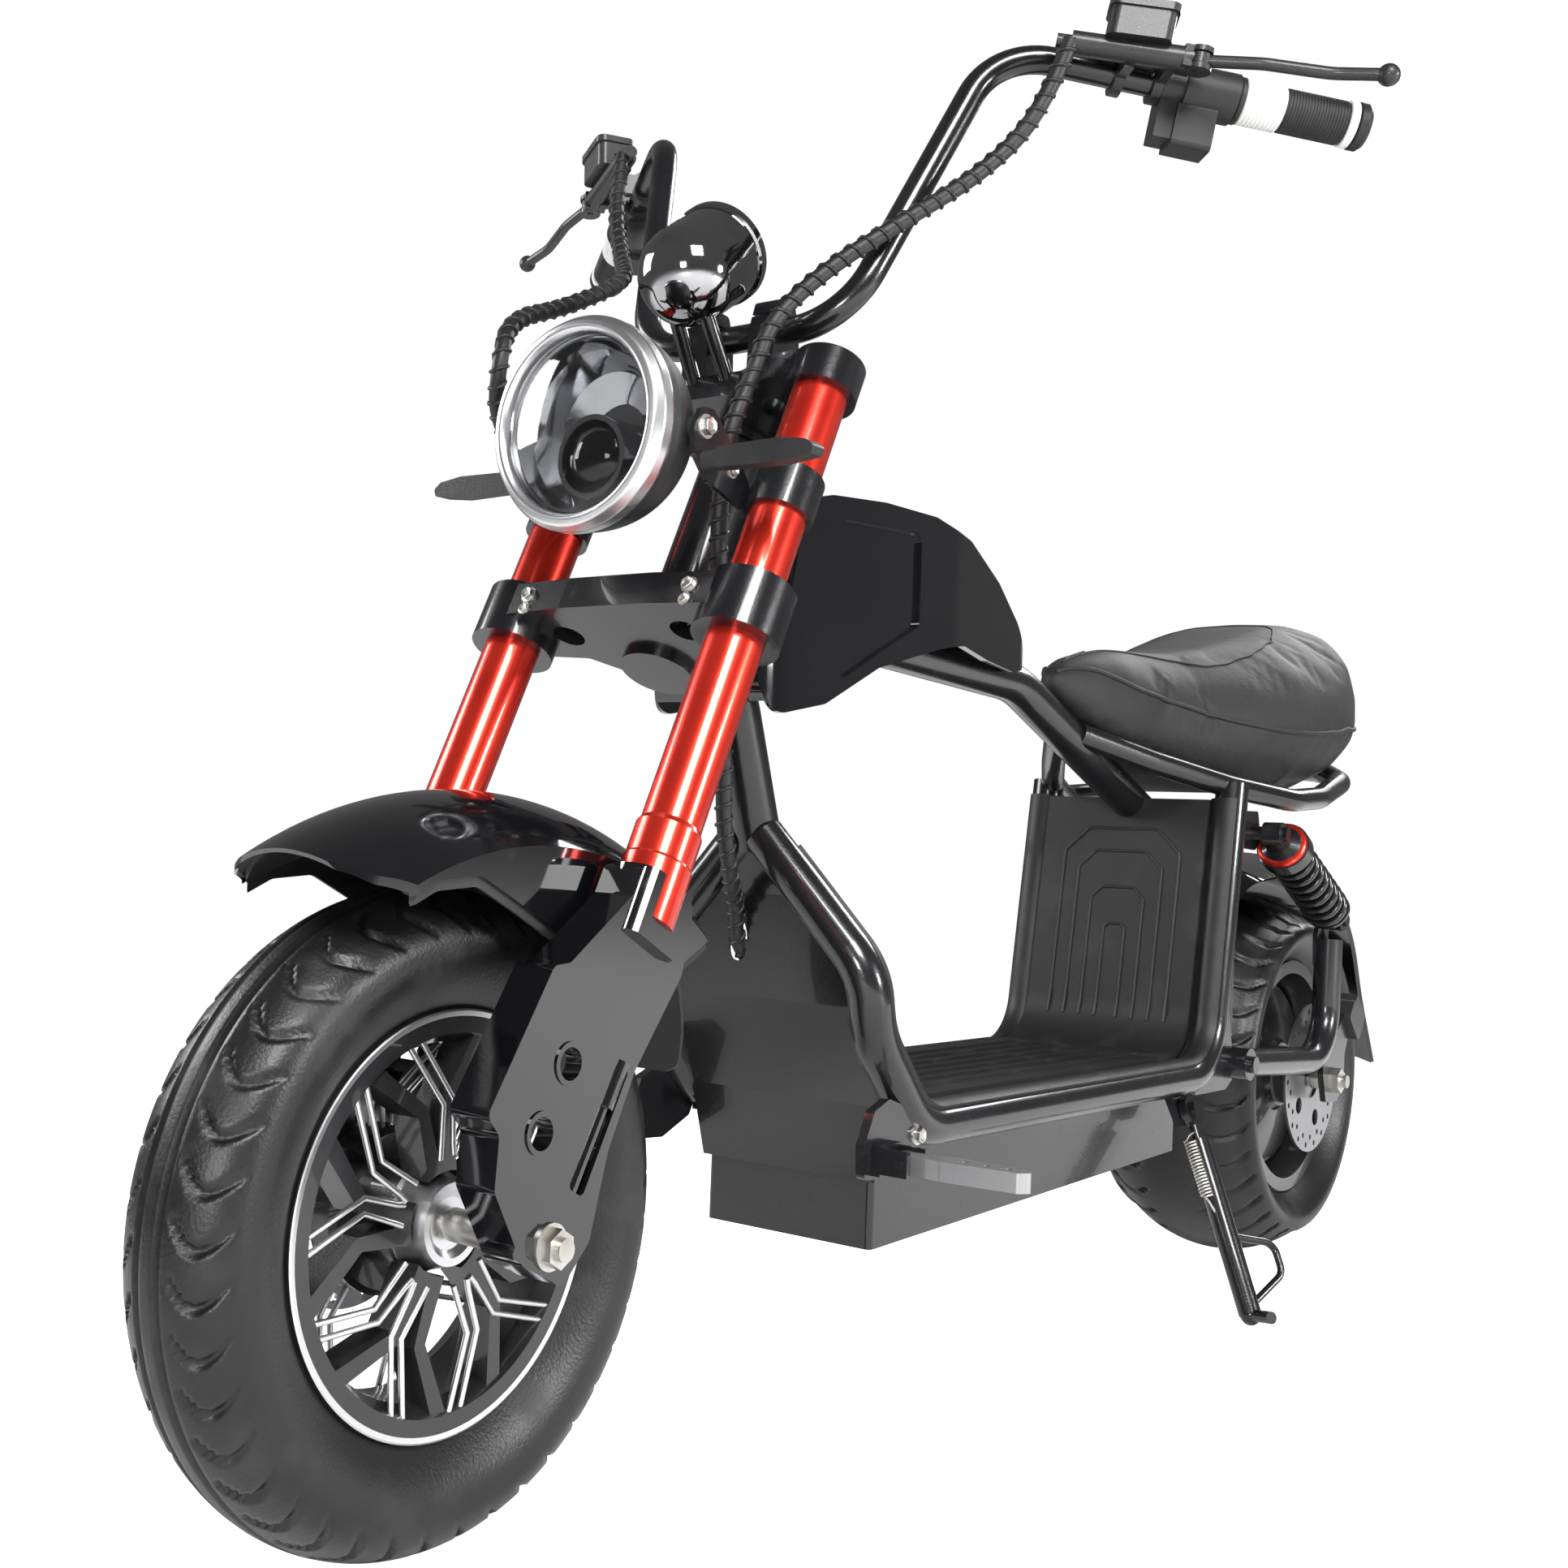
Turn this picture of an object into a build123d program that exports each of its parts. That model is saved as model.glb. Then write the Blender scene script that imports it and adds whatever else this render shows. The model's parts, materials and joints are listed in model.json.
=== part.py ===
from build123d import *
import os
from math import asin, atan2, cos, degrees, pi, radians, sin, tan

# Fat-tyre electric scooter in chopper style, leaning on its side stand.
# Everything is drawn upright in the machine's own frame and leaned over at the end:
# X points to the rider's left, Y to the rear, Z up. Y = 0 is the front axle and Z = 0 the ground.
# All sizes are in millimetres and all angles in degrees.

# Driving dimensions: wheels and stance
WHEEL_R = 217.0
FRONT_TYRE_W = 98.0
REAR_TYRE_W = 190.0
WHEELBASE = 1434.0
RAKE = 26.6
LEAN = 6.0
FRONT_CROWN_R = 60.0
REAR_CROWN_R = 120.0

# Rims and hubs
RIM_LIP_R = 138.0
RIM_SEAT_R = 127.0
RIM_WELL_R = 116.0
FRONT_RIM_HALF = 35.5
REAR_RIM_HALF = 74.0
FRONT_HUB_R = 34.0
FRONT_HUB_FACE_X = 38.0
SPOKE_FACE_X = 33.0
SPOKE_BACK_X = 9.0
SPOKE_PAIRS = 5
SPOKE_START = 12.0
AXLE_R = 7.5
RUNNING_GAP = 0.05
DISC_R = 72.0
REAR_DISC_R = 88.0
DISC_T = 2.6
FRONT_DISC_X = -58.0
REAR_DISC_X = 97.0
MOTOR_R = 108.0

# Fork, clamps and steering head
FORK_AXIS_Y = -6.0
FORK_HALF = 106.0
FORK_TUBE_R = 21.5
FORK_COLLAR_R = 24.5
FORK_TUBE_LOW = 222.0
FORK_TUBE_TOP = 687.0
LEG_IN = 88.0
LEG_OUT = 120.0
LEG_WALL = 3.5
LOWER_CLAMP = (443.0, 488.0)
UPPER_CLAMP = (664.0, 691.0)
STEM_BACK = 52.0
STEM_R = 15.0
HEAD_TUBE_R = 24.0
HEAD_GAP = 3.0
STEER_LIMIT = 32.0

# Handlebar: centre run, foot of the riser leg, top of the leg, grip start and end
BAR_R = 11.1
BAR_CENTRE = (0.0, 333.0, 877.0)
BAR_FOOT = (98.0, 333.0, 877.0)
BAR_TOP = (164.0, 440.0, 1113.0)
GRIP_START = (308.0, 564.0, 1080.0)
GRIP_END = (389.0, 633.0, 1061.0)
BAR_BEND = 62.0
BAR_CLAMP_X = 32.0
GRIP_R = 17.5

# Headlight and instrument
LAMP_AT = (0.0, 150.0, 770.0)
LAMP_R = 79.5
POD_AT = (0.0, 266.0, 915.0)
POD_R = 40.0
POD_LEN = 88.0

# Frame
LOOP_X = 107.0
LOOP_R = 17.0
BACKBONE_R = 20.0
DOWN_TUBE_R = 20.0
DECK_Z = 246.0
MAT_T = 8.0
MAT_BORDER = 4.0
BOX_HALF = 81.0
BOX_Y = (450.0, 1068.0)
BOX_LOW = (145.0, 164.5)
COVER_HALF = 58.0
COVER_WALL = 6.0
SEAT_HALF = 142.0
RAIL_R = 12.7
LOOP_REAR = 296.0

# Rear end, measured from the rear axle where it is a place along Y
PIVOT_AHEAD = 306.0
ARM_X = 122.0
ARM_R = 15.5
SHOCK_TOP = (120.0, -204.0, 505.0)
SHOCK_LOW = (124.0, -6.0, 408.0)
COIL_R = 26.0
COIL_WIRE_R = 3.6
COIL_TURNS = 8
FENDER_HALF = 88.0

# Side stand: pivot, where the foot is aimed at, and the tucked direction
STAND_PIVOT = (114.0, 1016.0, 212.0)
STAND_AIM = (197.0, 975.0, 26.0)
STAND_TUCKED = (0.03, 1.0, 0.0)
STAND_LEG_R = 11.0
STAND_FOOT_R = 10.0
STAND_FOLD = 88.0

# Foot pegs
PEG_PIVOT = (144.0, 396.0, 231.0)
PEG_LEN = 96.0
PEG_FOLD = 80.0

# Hoses
HOSE_R = 7.0

NODES = {}
MIN = (Align.CENTER, Align.CENTER, Align.MIN)


def keep(name, *solids):
    """Store the solids of one node."""
    body = solids[0]
    for extra in solids[1:]:
        body = body + extra
    NODES[name] = body


def both(solid):
    """The solid with its mirror image on the other side of the machine."""
    return solid + mirror(solid, Plane.YZ)


def flip(points):
    """The points on the other side of the machine."""
    return [(-x, y, z) for x, y, z in points]


def corner_radii(points, radius, closed):
    """Radius for each corner: the given one, or less where the runs beside it are short."""
    radii = []
    count = len(points)
    for n in range(count) if closed else range(1, count - 1):
        before = Vector(*points[n]) - Vector(*points[n - 1])
        after = Vector(*points[(n + 1) % count]) - Vector(*points[n])
        first = 0.9 if n == 1 and not closed else 0.45
        last = 0.9 if n == count - 2 and not closed else 0.45
        turn = radians(before.get_angle(after))
        room = min(first * before.length, last * after.length) / tan(turn / 2)
        radii.append(min(radius, room))
    return radii


def soft_line(points, radius, closed=False):
    """Straight runs with every corner rounded."""
    return FilletPolyline(*points, radius=corner_radii(points, radius, closed), close=closed)


def flat(outline, radius=0):
    """Face on the XY plane from an outline, with rounded corners if a radius is given."""
    if radius:
        return make_face(soft_line(outline, radius, closed=True))
    return make_face(Polyline(*outline, close=True))


def bar_x(radius, x_low, x_high, y, z):
    """Round bar along X between two X places."""
    return Pos(x_low, y, z) * Rot(0, 90, 0) * Cylinder(radius, x_high - x_low, align=MIN)


def ring_x(outer, inner, x_low, x_high, y, z):
    """Flat ring or tube along X."""
    return bar_x(outer, x_low, x_high, y, z) - bar_x(inner, x_low - 1, x_high + 1, y, z)


def nut_x(across, x_low, x_high, y, z):
    """Hexagon along X."""
    prism = extrude(RegularPolygon(across / 2, 6, major_radius=False), amount=x_high - x_low)
    return Pos(x_low, y, z) * Rot(0, 90, 0) * prism


def rod(start, end, radius):
    """Straight round bar between two points."""
    line = Line(start, end)
    return sweep(Plane(origin=line @ 0, z_dir=line % 0) * Circle(radius), path=line)


def pipe(points, radius, bend):
    """Round bar along straight runs joined by tangent arcs."""
    path = soft_line(points, bend)
    return sweep(Plane(origin=path @ 0, z_dir=path % 0) * Circle(radius), path=path)


def hose(name, points, radius, bend):
    """Hose along its route, with the arc radii printed."""
    print(name, "arc radii", [round(r, 1) for r in corner_radii(points, bend, False)])
    return pipe(points, radius, bend)


def spun(profile):
    """Solid of revolution about Z from (radius, z) points."""
    return revolve(make_face(Polyline(*[(r, 0, z) for r, z in profile], close=True)), Axis.Z)


def crown_arc(radius, z_edge, z_pole, from_pole=False):
    """Arc of a sphere about the Z axis, between its edge and its pole."""
    rise = z_pole - z_edge
    sphere = (radius ** 2 + rise ** 2) / (2 * rise)
    half = asin(radius / abs(sphere)) / 2
    middle = (abs(sphere) * sin(half), 0, z_pole - sphere * (1 - cos(half)))
    ends = [(radius, 0, z_edge), (0, 0, z_pole)]
    if from_pole:
        ends.reverse()
    return ThreePointArc(ends[0], middle, ends[1])


def spun_x(profile, y, z):
    """Solid of revolution about an X axis from (x, radius) points."""
    face = make_face(Polyline(*[(x, 0, r) for x, r in profile], close=True))
    return Pos(0, y, z) * revolve(face, Axis.X)


def side_location(x):
    """Place whose flat X and Y are the machine's Y and Z, facing along +X."""
    return Plane(origin=(x, 0, 0), x_dir=(0, 1, 0), z_dir=(1, 0, 0)).location


def side_plate(outline, x_low, x_high, radius=0):
    """Plate with a (y, z) outline between two X places."""
    return side_location(x_low) * extrude(flat(outline, radius), amount=x_high - x_low)


def front_prism(outline, y_low, y_high, radius=0):
    """Prism with an (x, z) outline between two Y places."""
    place = Plane(origin=(0, y_high, 0), x_dir=(1, 0, 0), z_dir=(0, -1, 0)).location
    return place * extrude(flat(outline, radius), amount=y_high - y_low)


# Fork frame: X as the machine, Y towards the rear across the fork, Z up along the tubes
FORK = Plane(
    origin=(0, FORK_AXIS_Y, WHEEL_R),
    x_dir=(1, 0, 0),
    z_dir=(0, sin(radians(RAKE)), cos(radians(RAKE))),
).location


def fork_point(x, v, t):
    """Machine point of a place given across and along the fork."""
    y = FORK_AXIS_Y + t * sin(radians(RAKE)) + v * cos(radians(RAKE))
    z = WHEEL_R + t * cos(radians(RAKE)) - v * sin(radians(RAKE))
    return x, y, z


def fork_plate(outline, x_low, x_high, radius=0):
    """Plate with a (v, t) outline in the fork frame between two X places."""
    return FORK * side_plate(outline, x_low, x_high, radius)


def upright_bar(radius, x, v, t_low, t_high):
    """Round bar along the fork between two heights."""
    return FORK * Pos(x, v, t_low) * Cylinder(radius, t_high - t_low, align=MIN)


def upright_slab(outline, t_low, t_high, radius=0):
    """Slab with an (x, v) outline in the fork frame between two heights."""
    return FORK * Pos(0, 0, t_low) * extrude(flat(outline, radius), amount=t_high - t_low)


def from_axle(y):
    """Y place of something given relative to the rear axle."""
    return WHEELBASE + y


# Wheels

def tyre(width, crown_r, rim_half, y):
    """Tyre body: crown arc, rounded shoulders, bulged walls and beads on the rim seat."""
    half = width / 2
    wall_r = (WHEEL_R + RIM_LIP_R) / 2
    shoulder_x = half * 0.84
    drop = crown_r - (crown_r**2 - shoulder_x**2) ** 0.5
    shoulder_r = WHEEL_R - drop
    bead_x = rim_half - 3
    crown = ThreePointArc((-shoulder_x, 0, shoulder_r), (0, 0, WHEEL_R), (shoulder_x, 0, shoulder_r))
    wall = ThreePointArc((shoulder_x, 0, shoulder_r), (half, 0, wall_r), (bead_x, 0, RIM_LIP_R + 1))
    other = ThreePointArc((-shoulder_x, 0, shoulder_r), (-half, 0, wall_r), (-bead_x, 0, RIM_LIP_R + 1))
    foot = Polyline(
        (bead_x, 0, RIM_LIP_R + 1),
        (bead_x, 0, RIM_SEAT_R),
        (-bead_x, 0, RIM_SEAT_R),
        (-bead_x, 0, RIM_LIP_R + 1),
    )
    return Pos(0, y, WHEEL_R) * revolve(make_face(Curve() + [crown, wall, foot, other]), Axis.X)


def rim_ring(half, y):
    """Rim with two lips, bead seats and a well."""
    profile = [
        (-half, RIM_LIP_R),
        (-half + 2.5, RIM_LIP_R),
        (-half + 3, RIM_SEAT_R),
        (half - 3, RIM_SEAT_R),
        (half - 2.5, RIM_LIP_R),
        (half, RIM_LIP_R),
        (half, RIM_SEAT_R - 4),
        (half * 0.6, RIM_WELL_R),
        (-half * 0.6, RIM_WELL_R),
        (-half, RIM_SEAT_R - 4),
    ]
    return spun_x(profile, y, WHEEL_R)


# Split spoke: edges of one arm as (sideways, radius), nearest its twin first
SPOKE_NEAR = [(0, 28), (0, 42), (2.6, 50), (7.2, 80), (49.5, RIM_SEAT_R - 5)]
SPOKE_FAR = [(59, RIM_WELL_R - 3), (16, 75), (13, 28)]


def split_spoke(angle):
    """Two arms that leave the hub side by side, kink and part towards the rim."""
    arm = side_plate(SPOKE_NEAR + SPOKE_FAR, SPOKE_BACK_X, SPOKE_FACE_X)
    twin = side_plate([(-y, z) for y, z in SPOKE_NEAR + SPOKE_FAR], SPOKE_BACK_X, SPOKE_FACE_X)
    inside = bar_x(RIM_SEAT_R - 2, SPOKE_BACK_X, SPOKE_FACE_X, 0, 0)
    return Pos(0, 0, WHEEL_R) * Rot(angle, 0, 0) * ((arm + twin) & inside)


def brake_disc(x, y, outer, holes):
    """Ventilated disc with two rings of holes and windows round the carrier."""
    disc = ring_x(outer, 24, x, x + DISC_T, y, WHEEL_R)
    for ring, radius, start in ((outer - 8, 3.2, 0), (outer - 17, 3.2, 0.5)):
        for n in range(holes):
            a = 2 * pi * (n + start) / holes
            disc = disc - bar_x(radius, x - 1, x + DISC_T + 1, y + ring * cos(a), WHEEL_R + ring * sin(a))
    for n in range(SPOKE_PAIRS):
        a = 2 * pi * n / SPOKE_PAIRS
        at = (y + (outer / 2 + 7) * cos(a), WHEEL_R + (outer / 2 + 7) * sin(a))
        disc = disc - bar_x(outer / 9, x - 1, x + DISC_T + 1, *at)
    return disc


def front_wheel():
    """Tyre, spoked rim, bright hub and brake disc of the front wheel."""
    keep("front_tyre", tyre(FRONT_TYRE_W, FRONT_CROWN_R, FRONT_RIM_HALF, 0))
    rim = rim_ring(FRONT_RIM_HALF, 0)
    for n in range(SPOKE_PAIRS):
        rim = rim + split_spoke(360 / SPOKE_PAIRS * n + SPOKE_START)
    core = spun_x([(-44, 0), (-44, 32), (-38, 36), (12, 36), (12, 0)], 0, WHEEL_R)
    drum = spun_x([(-42, 30), (-42, 53), (-38, 56), (-20, 56), (-16, 52), (-16, 30)], 0, WHEEL_R)
    for n in range(SPOKE_PAIRS):
        angle = 360 / SPOKE_PAIRS * (n + 0.5) + SPOKE_START
        drum = drum - Pos(0, 0, WHEEL_R) * Rot(angle, 0, 0) * Pos(-29, 0, 52) * Box(30, 16, 22)
    bore = bar_x(AXLE_R + RUNNING_GAP, -60, 60, 0, WHEEL_R)
    keep("front_rim", rim + core + drum - bore)
    cone = spun_x(
        [
            (12, 0), (12, FRONT_HUB_R), (15, FRONT_HUB_R), (FRONT_HUB_FACE_X, 27),
            (FRONT_HUB_FACE_X, 22), (FRONT_HUB_FACE_X - 4, 17), (FRONT_HUB_FACE_X - 4, 0),
        ],
        0, WHEEL_R,
    )
    keep("front_hub", cone - bore)
    NODES["front_rim"] = NODES["front_rim"] - bar_x(FRONT_HUB_R, 12, 60, 0, WHEEL_R)
    carrier = ring_x(36, AXLE_R + RUNNING_GAP, FRONT_DISC_X + DISC_T, -44, 0, WHEEL_R)
    keep("front_disc", brake_disc(FRONT_DISC_X, 0, DISC_R, 14), carrier)


def rear_wheel():
    """Wide tyre, hub motor rim and brake disc of the rear wheel."""
    y = WHEELBASE
    keep("rear_tyre", tyre(REAR_TYRE_W, REAR_CROWN_R, REAR_RIM_HALF, y))
    motor = spun_x(
        [
            (-64, 0), (-64, 38), (-58, 44), (-50, MOTOR_R - 6), (-46, MOTOR_R), (-30, RIM_WELL_R + 2),
            (30, RIM_WELL_R + 2), (46, MOTOR_R), (50, MOTOR_R - 6), (58, 44), (64, 38), (64, 0),
        ],
        y, WHEEL_R,
    )
    bore = bar_x(AXLE_R + RUNNING_GAP, -80, 80, y, WHEEL_R)
    keep("rear_rim", rim_ring(REAR_RIM_HALF, y) + motor - bore)
    carrier = ring_x(34, AXLE_R + RUNNING_GAP, 64, REAR_DISC_X, y, WHEEL_R)
    keep("rear_disc", brake_disc(REAR_DISC_X, y, REAR_DISC_R, 18), carrier)


# Fork and steering

LEG_OUTLINE = [
    (-65, 163), (-30, 228), (-30, 252), (34, 252), (45, 205), (30, 130), (30, 74), (41, 18), (30, -15),
    (-13, -16), (-60, 14), (-73, 45), (-89, 51), (-84, 98), (-78, 155),
]


def leg_cover():
    """Left leg cover: a pressed channel open to the wheel, with socket, holes, strut and dropout."""
    shell = fork_plate(LEG_OUTLINE, LEG_IN, LEG_OUT, 7)
    inside = offset(flat(LEG_OUTLINE, 7), -LEG_WALL)
    pocket = extrude(inside, amount=LEG_OUT - LEG_IN + 1 - LEG_WALL)
    shell = shell - FORK * side_location(LEG_IN - 1) * pocket
    round_part = upright_bar(30, FORK_HALF, 0, 206, 252)
    socket = round_part & fork_plate([(-30, 200), (44, 200), (44, 252), (-30, 252)], LEG_IN, LEG_OUT + 7)
    block = fork_plate([(-26, -15), (28, -15), (34, 18), (20, 30), (-22, 26)], LEG_IN + 8, LEG_OUT, 4)
    window = fork_plate([(4, 40), (20, 40), (24, 128), (10, 128)], LEG_IN + 16, LEG_OUT + 1, 4)
    shell = shell - window + socket + block
    for v, t in ((-34, 108), (-38, 60)):
        _, y, z = fork_point(0, v, t)
        shell = shell + ring_x(14, 10.5, LEG_OUT - 12, LEG_OUT + 1.2, y, z)
        shell = shell - bar_x(10.5, LEG_IN - 2, LEG_OUT + 4, y, z)
    strut = rod(fork_point(LEG_OUT - 6, 17, 136), fork_point(LEG_OUT - 6, 11, 26), 5.5)
    sleeve = rod(fork_point(LEG_OUT - 6, 16.6, 130), fork_point(LEG_OUT - 6, 15, 98), 8.5)
    shell = shell + strut + sleeve
    shell = shell - bar_x(AXLE_R, LEG_IN - 5, LEG_OUT + 5, 0, WHEEL_R)
    return shell - upright_bar(FORK_COLLAR_R, FORK_HALF, 0, FORK_TUBE_LOW, 300)


def fork():
    """Tubes, leg covers, axle, clamps and stem."""
    tube = FORK * Pos(FORK_HALF, 0, 0) * spun([
        (0, FORK_TUBE_LOW), (FORK_COLLAR_R, FORK_TUBE_LOW), (FORK_COLLAR_R, 264), (FORK_COLLAR_R - 1, 266),
        (FORK_COLLAR_R - 1, 290), (FORK_TUBE_R, 294), (FORK_TUBE_R, FORK_TUBE_TOP), (0, FORK_TUBE_TOP),
    ])
    keep("fork_tubes", both(tube))
    keep("leg_covers", both(leg_cover()))
    axle = bar_x(AXLE_R, -LEG_OUT - 14, LEG_OUT + 14, 0, WHEEL_R)
    spacer = ring_x(11, AXLE_R, FRONT_HUB_FACE_X + 0.5, LEG_IN + 8, 0, WHEEL_R)
    spacer_right = ring_x(11, AXLE_R, -LEG_IN - 8, FRONT_DISC_X - 0.5, 0, WHEEL_R)
    end = ring_x(15, AXLE_R, LEG_OUT, LEG_OUT + 2, 0, WHEEL_R) + nut_x(22, LEG_OUT + 2, LEG_OUT + 10, 0, WHEEL_R)
    keep("front_axle", axle + spacer + spacer_right + both(end))

    low, high = LOWER_CLAMP
    yoke = [
        (-FORK_HALF, -30), (-40, -34), (40, -34), (FORK_HALF, -30), (FORK_HALF, 30), (58, 36), (24, 66),
        (-24, 66), (-58, 36), (-FORK_HALF, 30),
    ]
    body = upright_slab(yoke, low + 14, high - 4, 6)
    body = body + upright_bar(30, 0, STEM_BACK, low + 8, high)
    body = body + upright_bar(STEM_R, 0, STEM_BACK, high - 1, UPPER_CLAMP[0])
    for side in (1, -1):
        body = body + upright_bar(33, side * FORK_HALF, 0, low, high)
        body = body - upright_bar(13, side * 56, 4, low, high + 1)
        body = body - upright_bar(FORK_TUBE_R, side * FORK_HALF, 0, low - 1, high + 1)
    keep("lower_clamp", body)

    low, high = UPPER_CLAMP
    plate = [
        (-FORK_HALF, -25), (-66, -22), (-30, -10), (30, -10), (66, -22), (FORK_HALF, -25), (FORK_HALF, 25),
        (66, 42), (34, 78), (-34, 78), (-66, 42), (-FORK_HALF, 25),
    ]
    body = upright_slab(plate, low + 4, high, 6)
    body = body + upright_bar(23, 0, STEM_BACK, low, high)
    for side in (1, -1):
        body = body + upright_bar(28, side * FORK_HALF, 0, low - 3, high)
        body = body - upright_bar(12, side * 56, 12, low, high + 1)
        body = body - upright_bar(FORK_TUBE_R, side * FORK_HALF, 0, low - 4, FORK_TUBE_TOP)
    keep("upper_clamp", body)


def headlight():
    """Lamp bucket, bezel, glass, reflector with projector, ears and indicators."""
    lamp = Plane(origin=LAMP_AT, x_dir=(1, 0, 0), z_dir=(0, -1, 0)).location
    section = [
        (LAMP_R - 12, 0), (LAMP_R - 2, 0), (LAMP_R, 5), (LAMP_R, 14), (LAMP_R - 4, 21), (LAMP_R - 10, 23),
        (LAMP_R - 13, 19), (LAMP_R - 13.5, 13),
    ]
    bezel = revolve(make_face(soft_line([(r, 0, z) for r, z in section], 4, closed=True)), Axis.Z)
    keep("headlight_ring", lamp * bezel)
    wall = Curve() + [
        Line((LAMP_R - 6, 0, 0), (LAMP_R - 3, 0, 0)), Line((LAMP_R - 3, 0, 0), (LAMP_R - 3, 0, -8)),
        crown_arc(LAMP_R - 3, -8, -75), Line((0, 0, -75), (0, 0, -72)),
        crown_arc(LAMP_R - 6, -8, -72, True), Line((LAMP_R - 6, 0, -8), (LAMP_R - 6, 0, 0)),
    ]
    bolt_y, bolt_z = fork_point(0, -82, 574)[1:]
    boss = both(bar_x(9, 71, 80, bolt_y, bolt_z))
    keep("headlight_shell", lamp * revolve(make_face(wall), Axis.Z) + boss)
    rim_r = LAMP_R - 14
    lens = Curve() + [
        crown_arc(rim_r, 15, 26), Line((0, 0, 26), (0, 0, 23)),
        crown_arc(rim_r, 12, 23, True), Line((rim_r, 0, 12), (rim_r, 0, 15)),
    ]
    keep("headlight_glass", lamp * revolve(make_face(lens), Axis.Z))
    dish = spun([
        (66, 2), (66, 8), (62.5, 8), (58, -5), (46, -25), (24, -36), (0, -38), (0, -41), (25, -39), (48, -28),
        (61, -7), (63, 2),
    ])
    barrel = Pos(0, -21, -36) * (Cylinder(31, 34, align=MIN) - Pos(0, 0, 6) * Cylinder(27, 40, align=MIN))
    dish = dish - Pos(0, -21, -30) * Cylinder(27, 60, align=MIN)
    dish = lamp * (dish + barrel) - NODES["headlight_ring"] - NODES["headlight_shell"]
    keep("headlight_reflector", dish)
    bulb = Curve() + [
        crown_arc(26.6, 0, 13), Line((0, 0, 13), (0, 0, -22)),
        Line((0, 0, -22), (27, 0, -22)), Line((27, 0, -22), (27, 0, -1)), Line((27, 0, -1), (26.6, 0, 0)),
    ]
    keep("headlight_projector", lamp * Pos(0, -21, -8) * revolve(make_face(bulb), Axis.Z))

    ear = [
        (-93, 566), (-93, 584), (-80, 591), (-66, 588), (-20, 572), (-12, 566), (-12, 550), (-60, 542), (-84, 550),
    ]
    plate = fork_plate(ear, 80, 84, 5)
    band = upright_bar(FORK_TUBE_R + 4.5, FORK_HALF, 0, 550, 585)
    plate = plate + band - upright_bar(FORK_TUBE_R, FORK_HALF, 0, 549, 586)
    keep("lamp_ears", both(plate))
    y, z = fork_point(0, -69, 553)[1:]
    stalk = bar_x(8, 84, 100, y, z) + bar_x(6.5, 84, 103, y, z)
    blade = front_prism(
        [(97, z - 7), (97, z + 8), (150, z + 9), (172, z + 6), (179, z + 1), (177, z - 5), (150, z - 8)],
        y - 8, y + 7, 3,
    )
    keep("indicators", both(stalk + blade))

    pod = Plane(origin=POD_AT, x_dir=(1, 0, 0), z_dir=(0, 0.83, 0.56)).location
    half = POD_LEN / 2
    bullet = Curve() + [
        ThreePointArc((0, 0, -half), (POD_R * 0.74, 0, 12 - half), (POD_R, 0, 34 - half)),
        Polyline(
            (POD_R, 0, 34 - half), (POD_R, 0, half - 8), (POD_R + 2, 0, half - 7), (POD_R + 2, 0, half),
            (POD_R - 3, 0, half), (POD_R - 4, 0, half - 4), (0, 0, half - 4), (0, 0, -half),
        ),
    ]
    keep("instrument_pod", pod * revolve(make_face(bullet), Axis.Z))
    start = fork_point(0, -2, UPPER_CLAMP[1] - 6)
    stay = both(rod((16, start[1], start[2]), (14, POD_AT[1] - 2, POD_AT[2] - 30), 6))
    keep("upper_clamp", NODES["upper_clamp"] + (stay - NODES["instrument_pod"]))


# Frame of the left grip: X out along the bar, Y backwards, Z up
GRIP_DIR = (Vector(*GRIP_END) - Vector(*BAR_TOP)).normalized()
GRIP_UP = (Vector(0, 0, 1) - GRIP_DIR * GRIP_DIR.Z).normalized()
GRIP_AT = Vector(*BAR_TOP) + GRIP_DIR * (Vector(*GRIP_START) - Vector(*BAR_TOP)).dot(GRIP_DIR)
GRIP_LEN = (Vector(*GRIP_END) - GRIP_AT).length
HAND = Plane(origin=GRIP_AT, x_dir=GRIP_DIR, z_dir=GRIP_UP).location


def handlebar():
    """One bent tube from grip to grip, and its two risers."""
    tip = tuple(GRIP_AT + GRIP_DIR * (GRIP_LEN - 5))
    left = [BAR_FOOT, BAR_TOP, tip]
    keep("handlebar", pipe(list(reversed(flip(left))) + left, BAR_R, BAR_BEND))
    _, y, z = BAR_CENTRE
    tower = side_plate(
        [(y - 19, z - 64), (y + 24, z - 72), (y + 20, z + 4), (y + 13, z + 24), (y - 7, z + 26), (y - 15, z + 4)],
        BAR_CLAMP_X - 12, BAR_CLAMP_X + 12, 5,
    )
    tower = tower - Pos(BAR_CLAMP_X, y - 12, z + 13.5) * Box(30, 40, 1.6)
    under = upright_slab([(-150, -150), (150, -150), (150, 150), (-150, 150)], UPPER_CLAMP[1] - 80, UPPER_CLAMP[1])
    keep("bar_clamp", both(tower) - NODES["handlebar"] - under)


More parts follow.
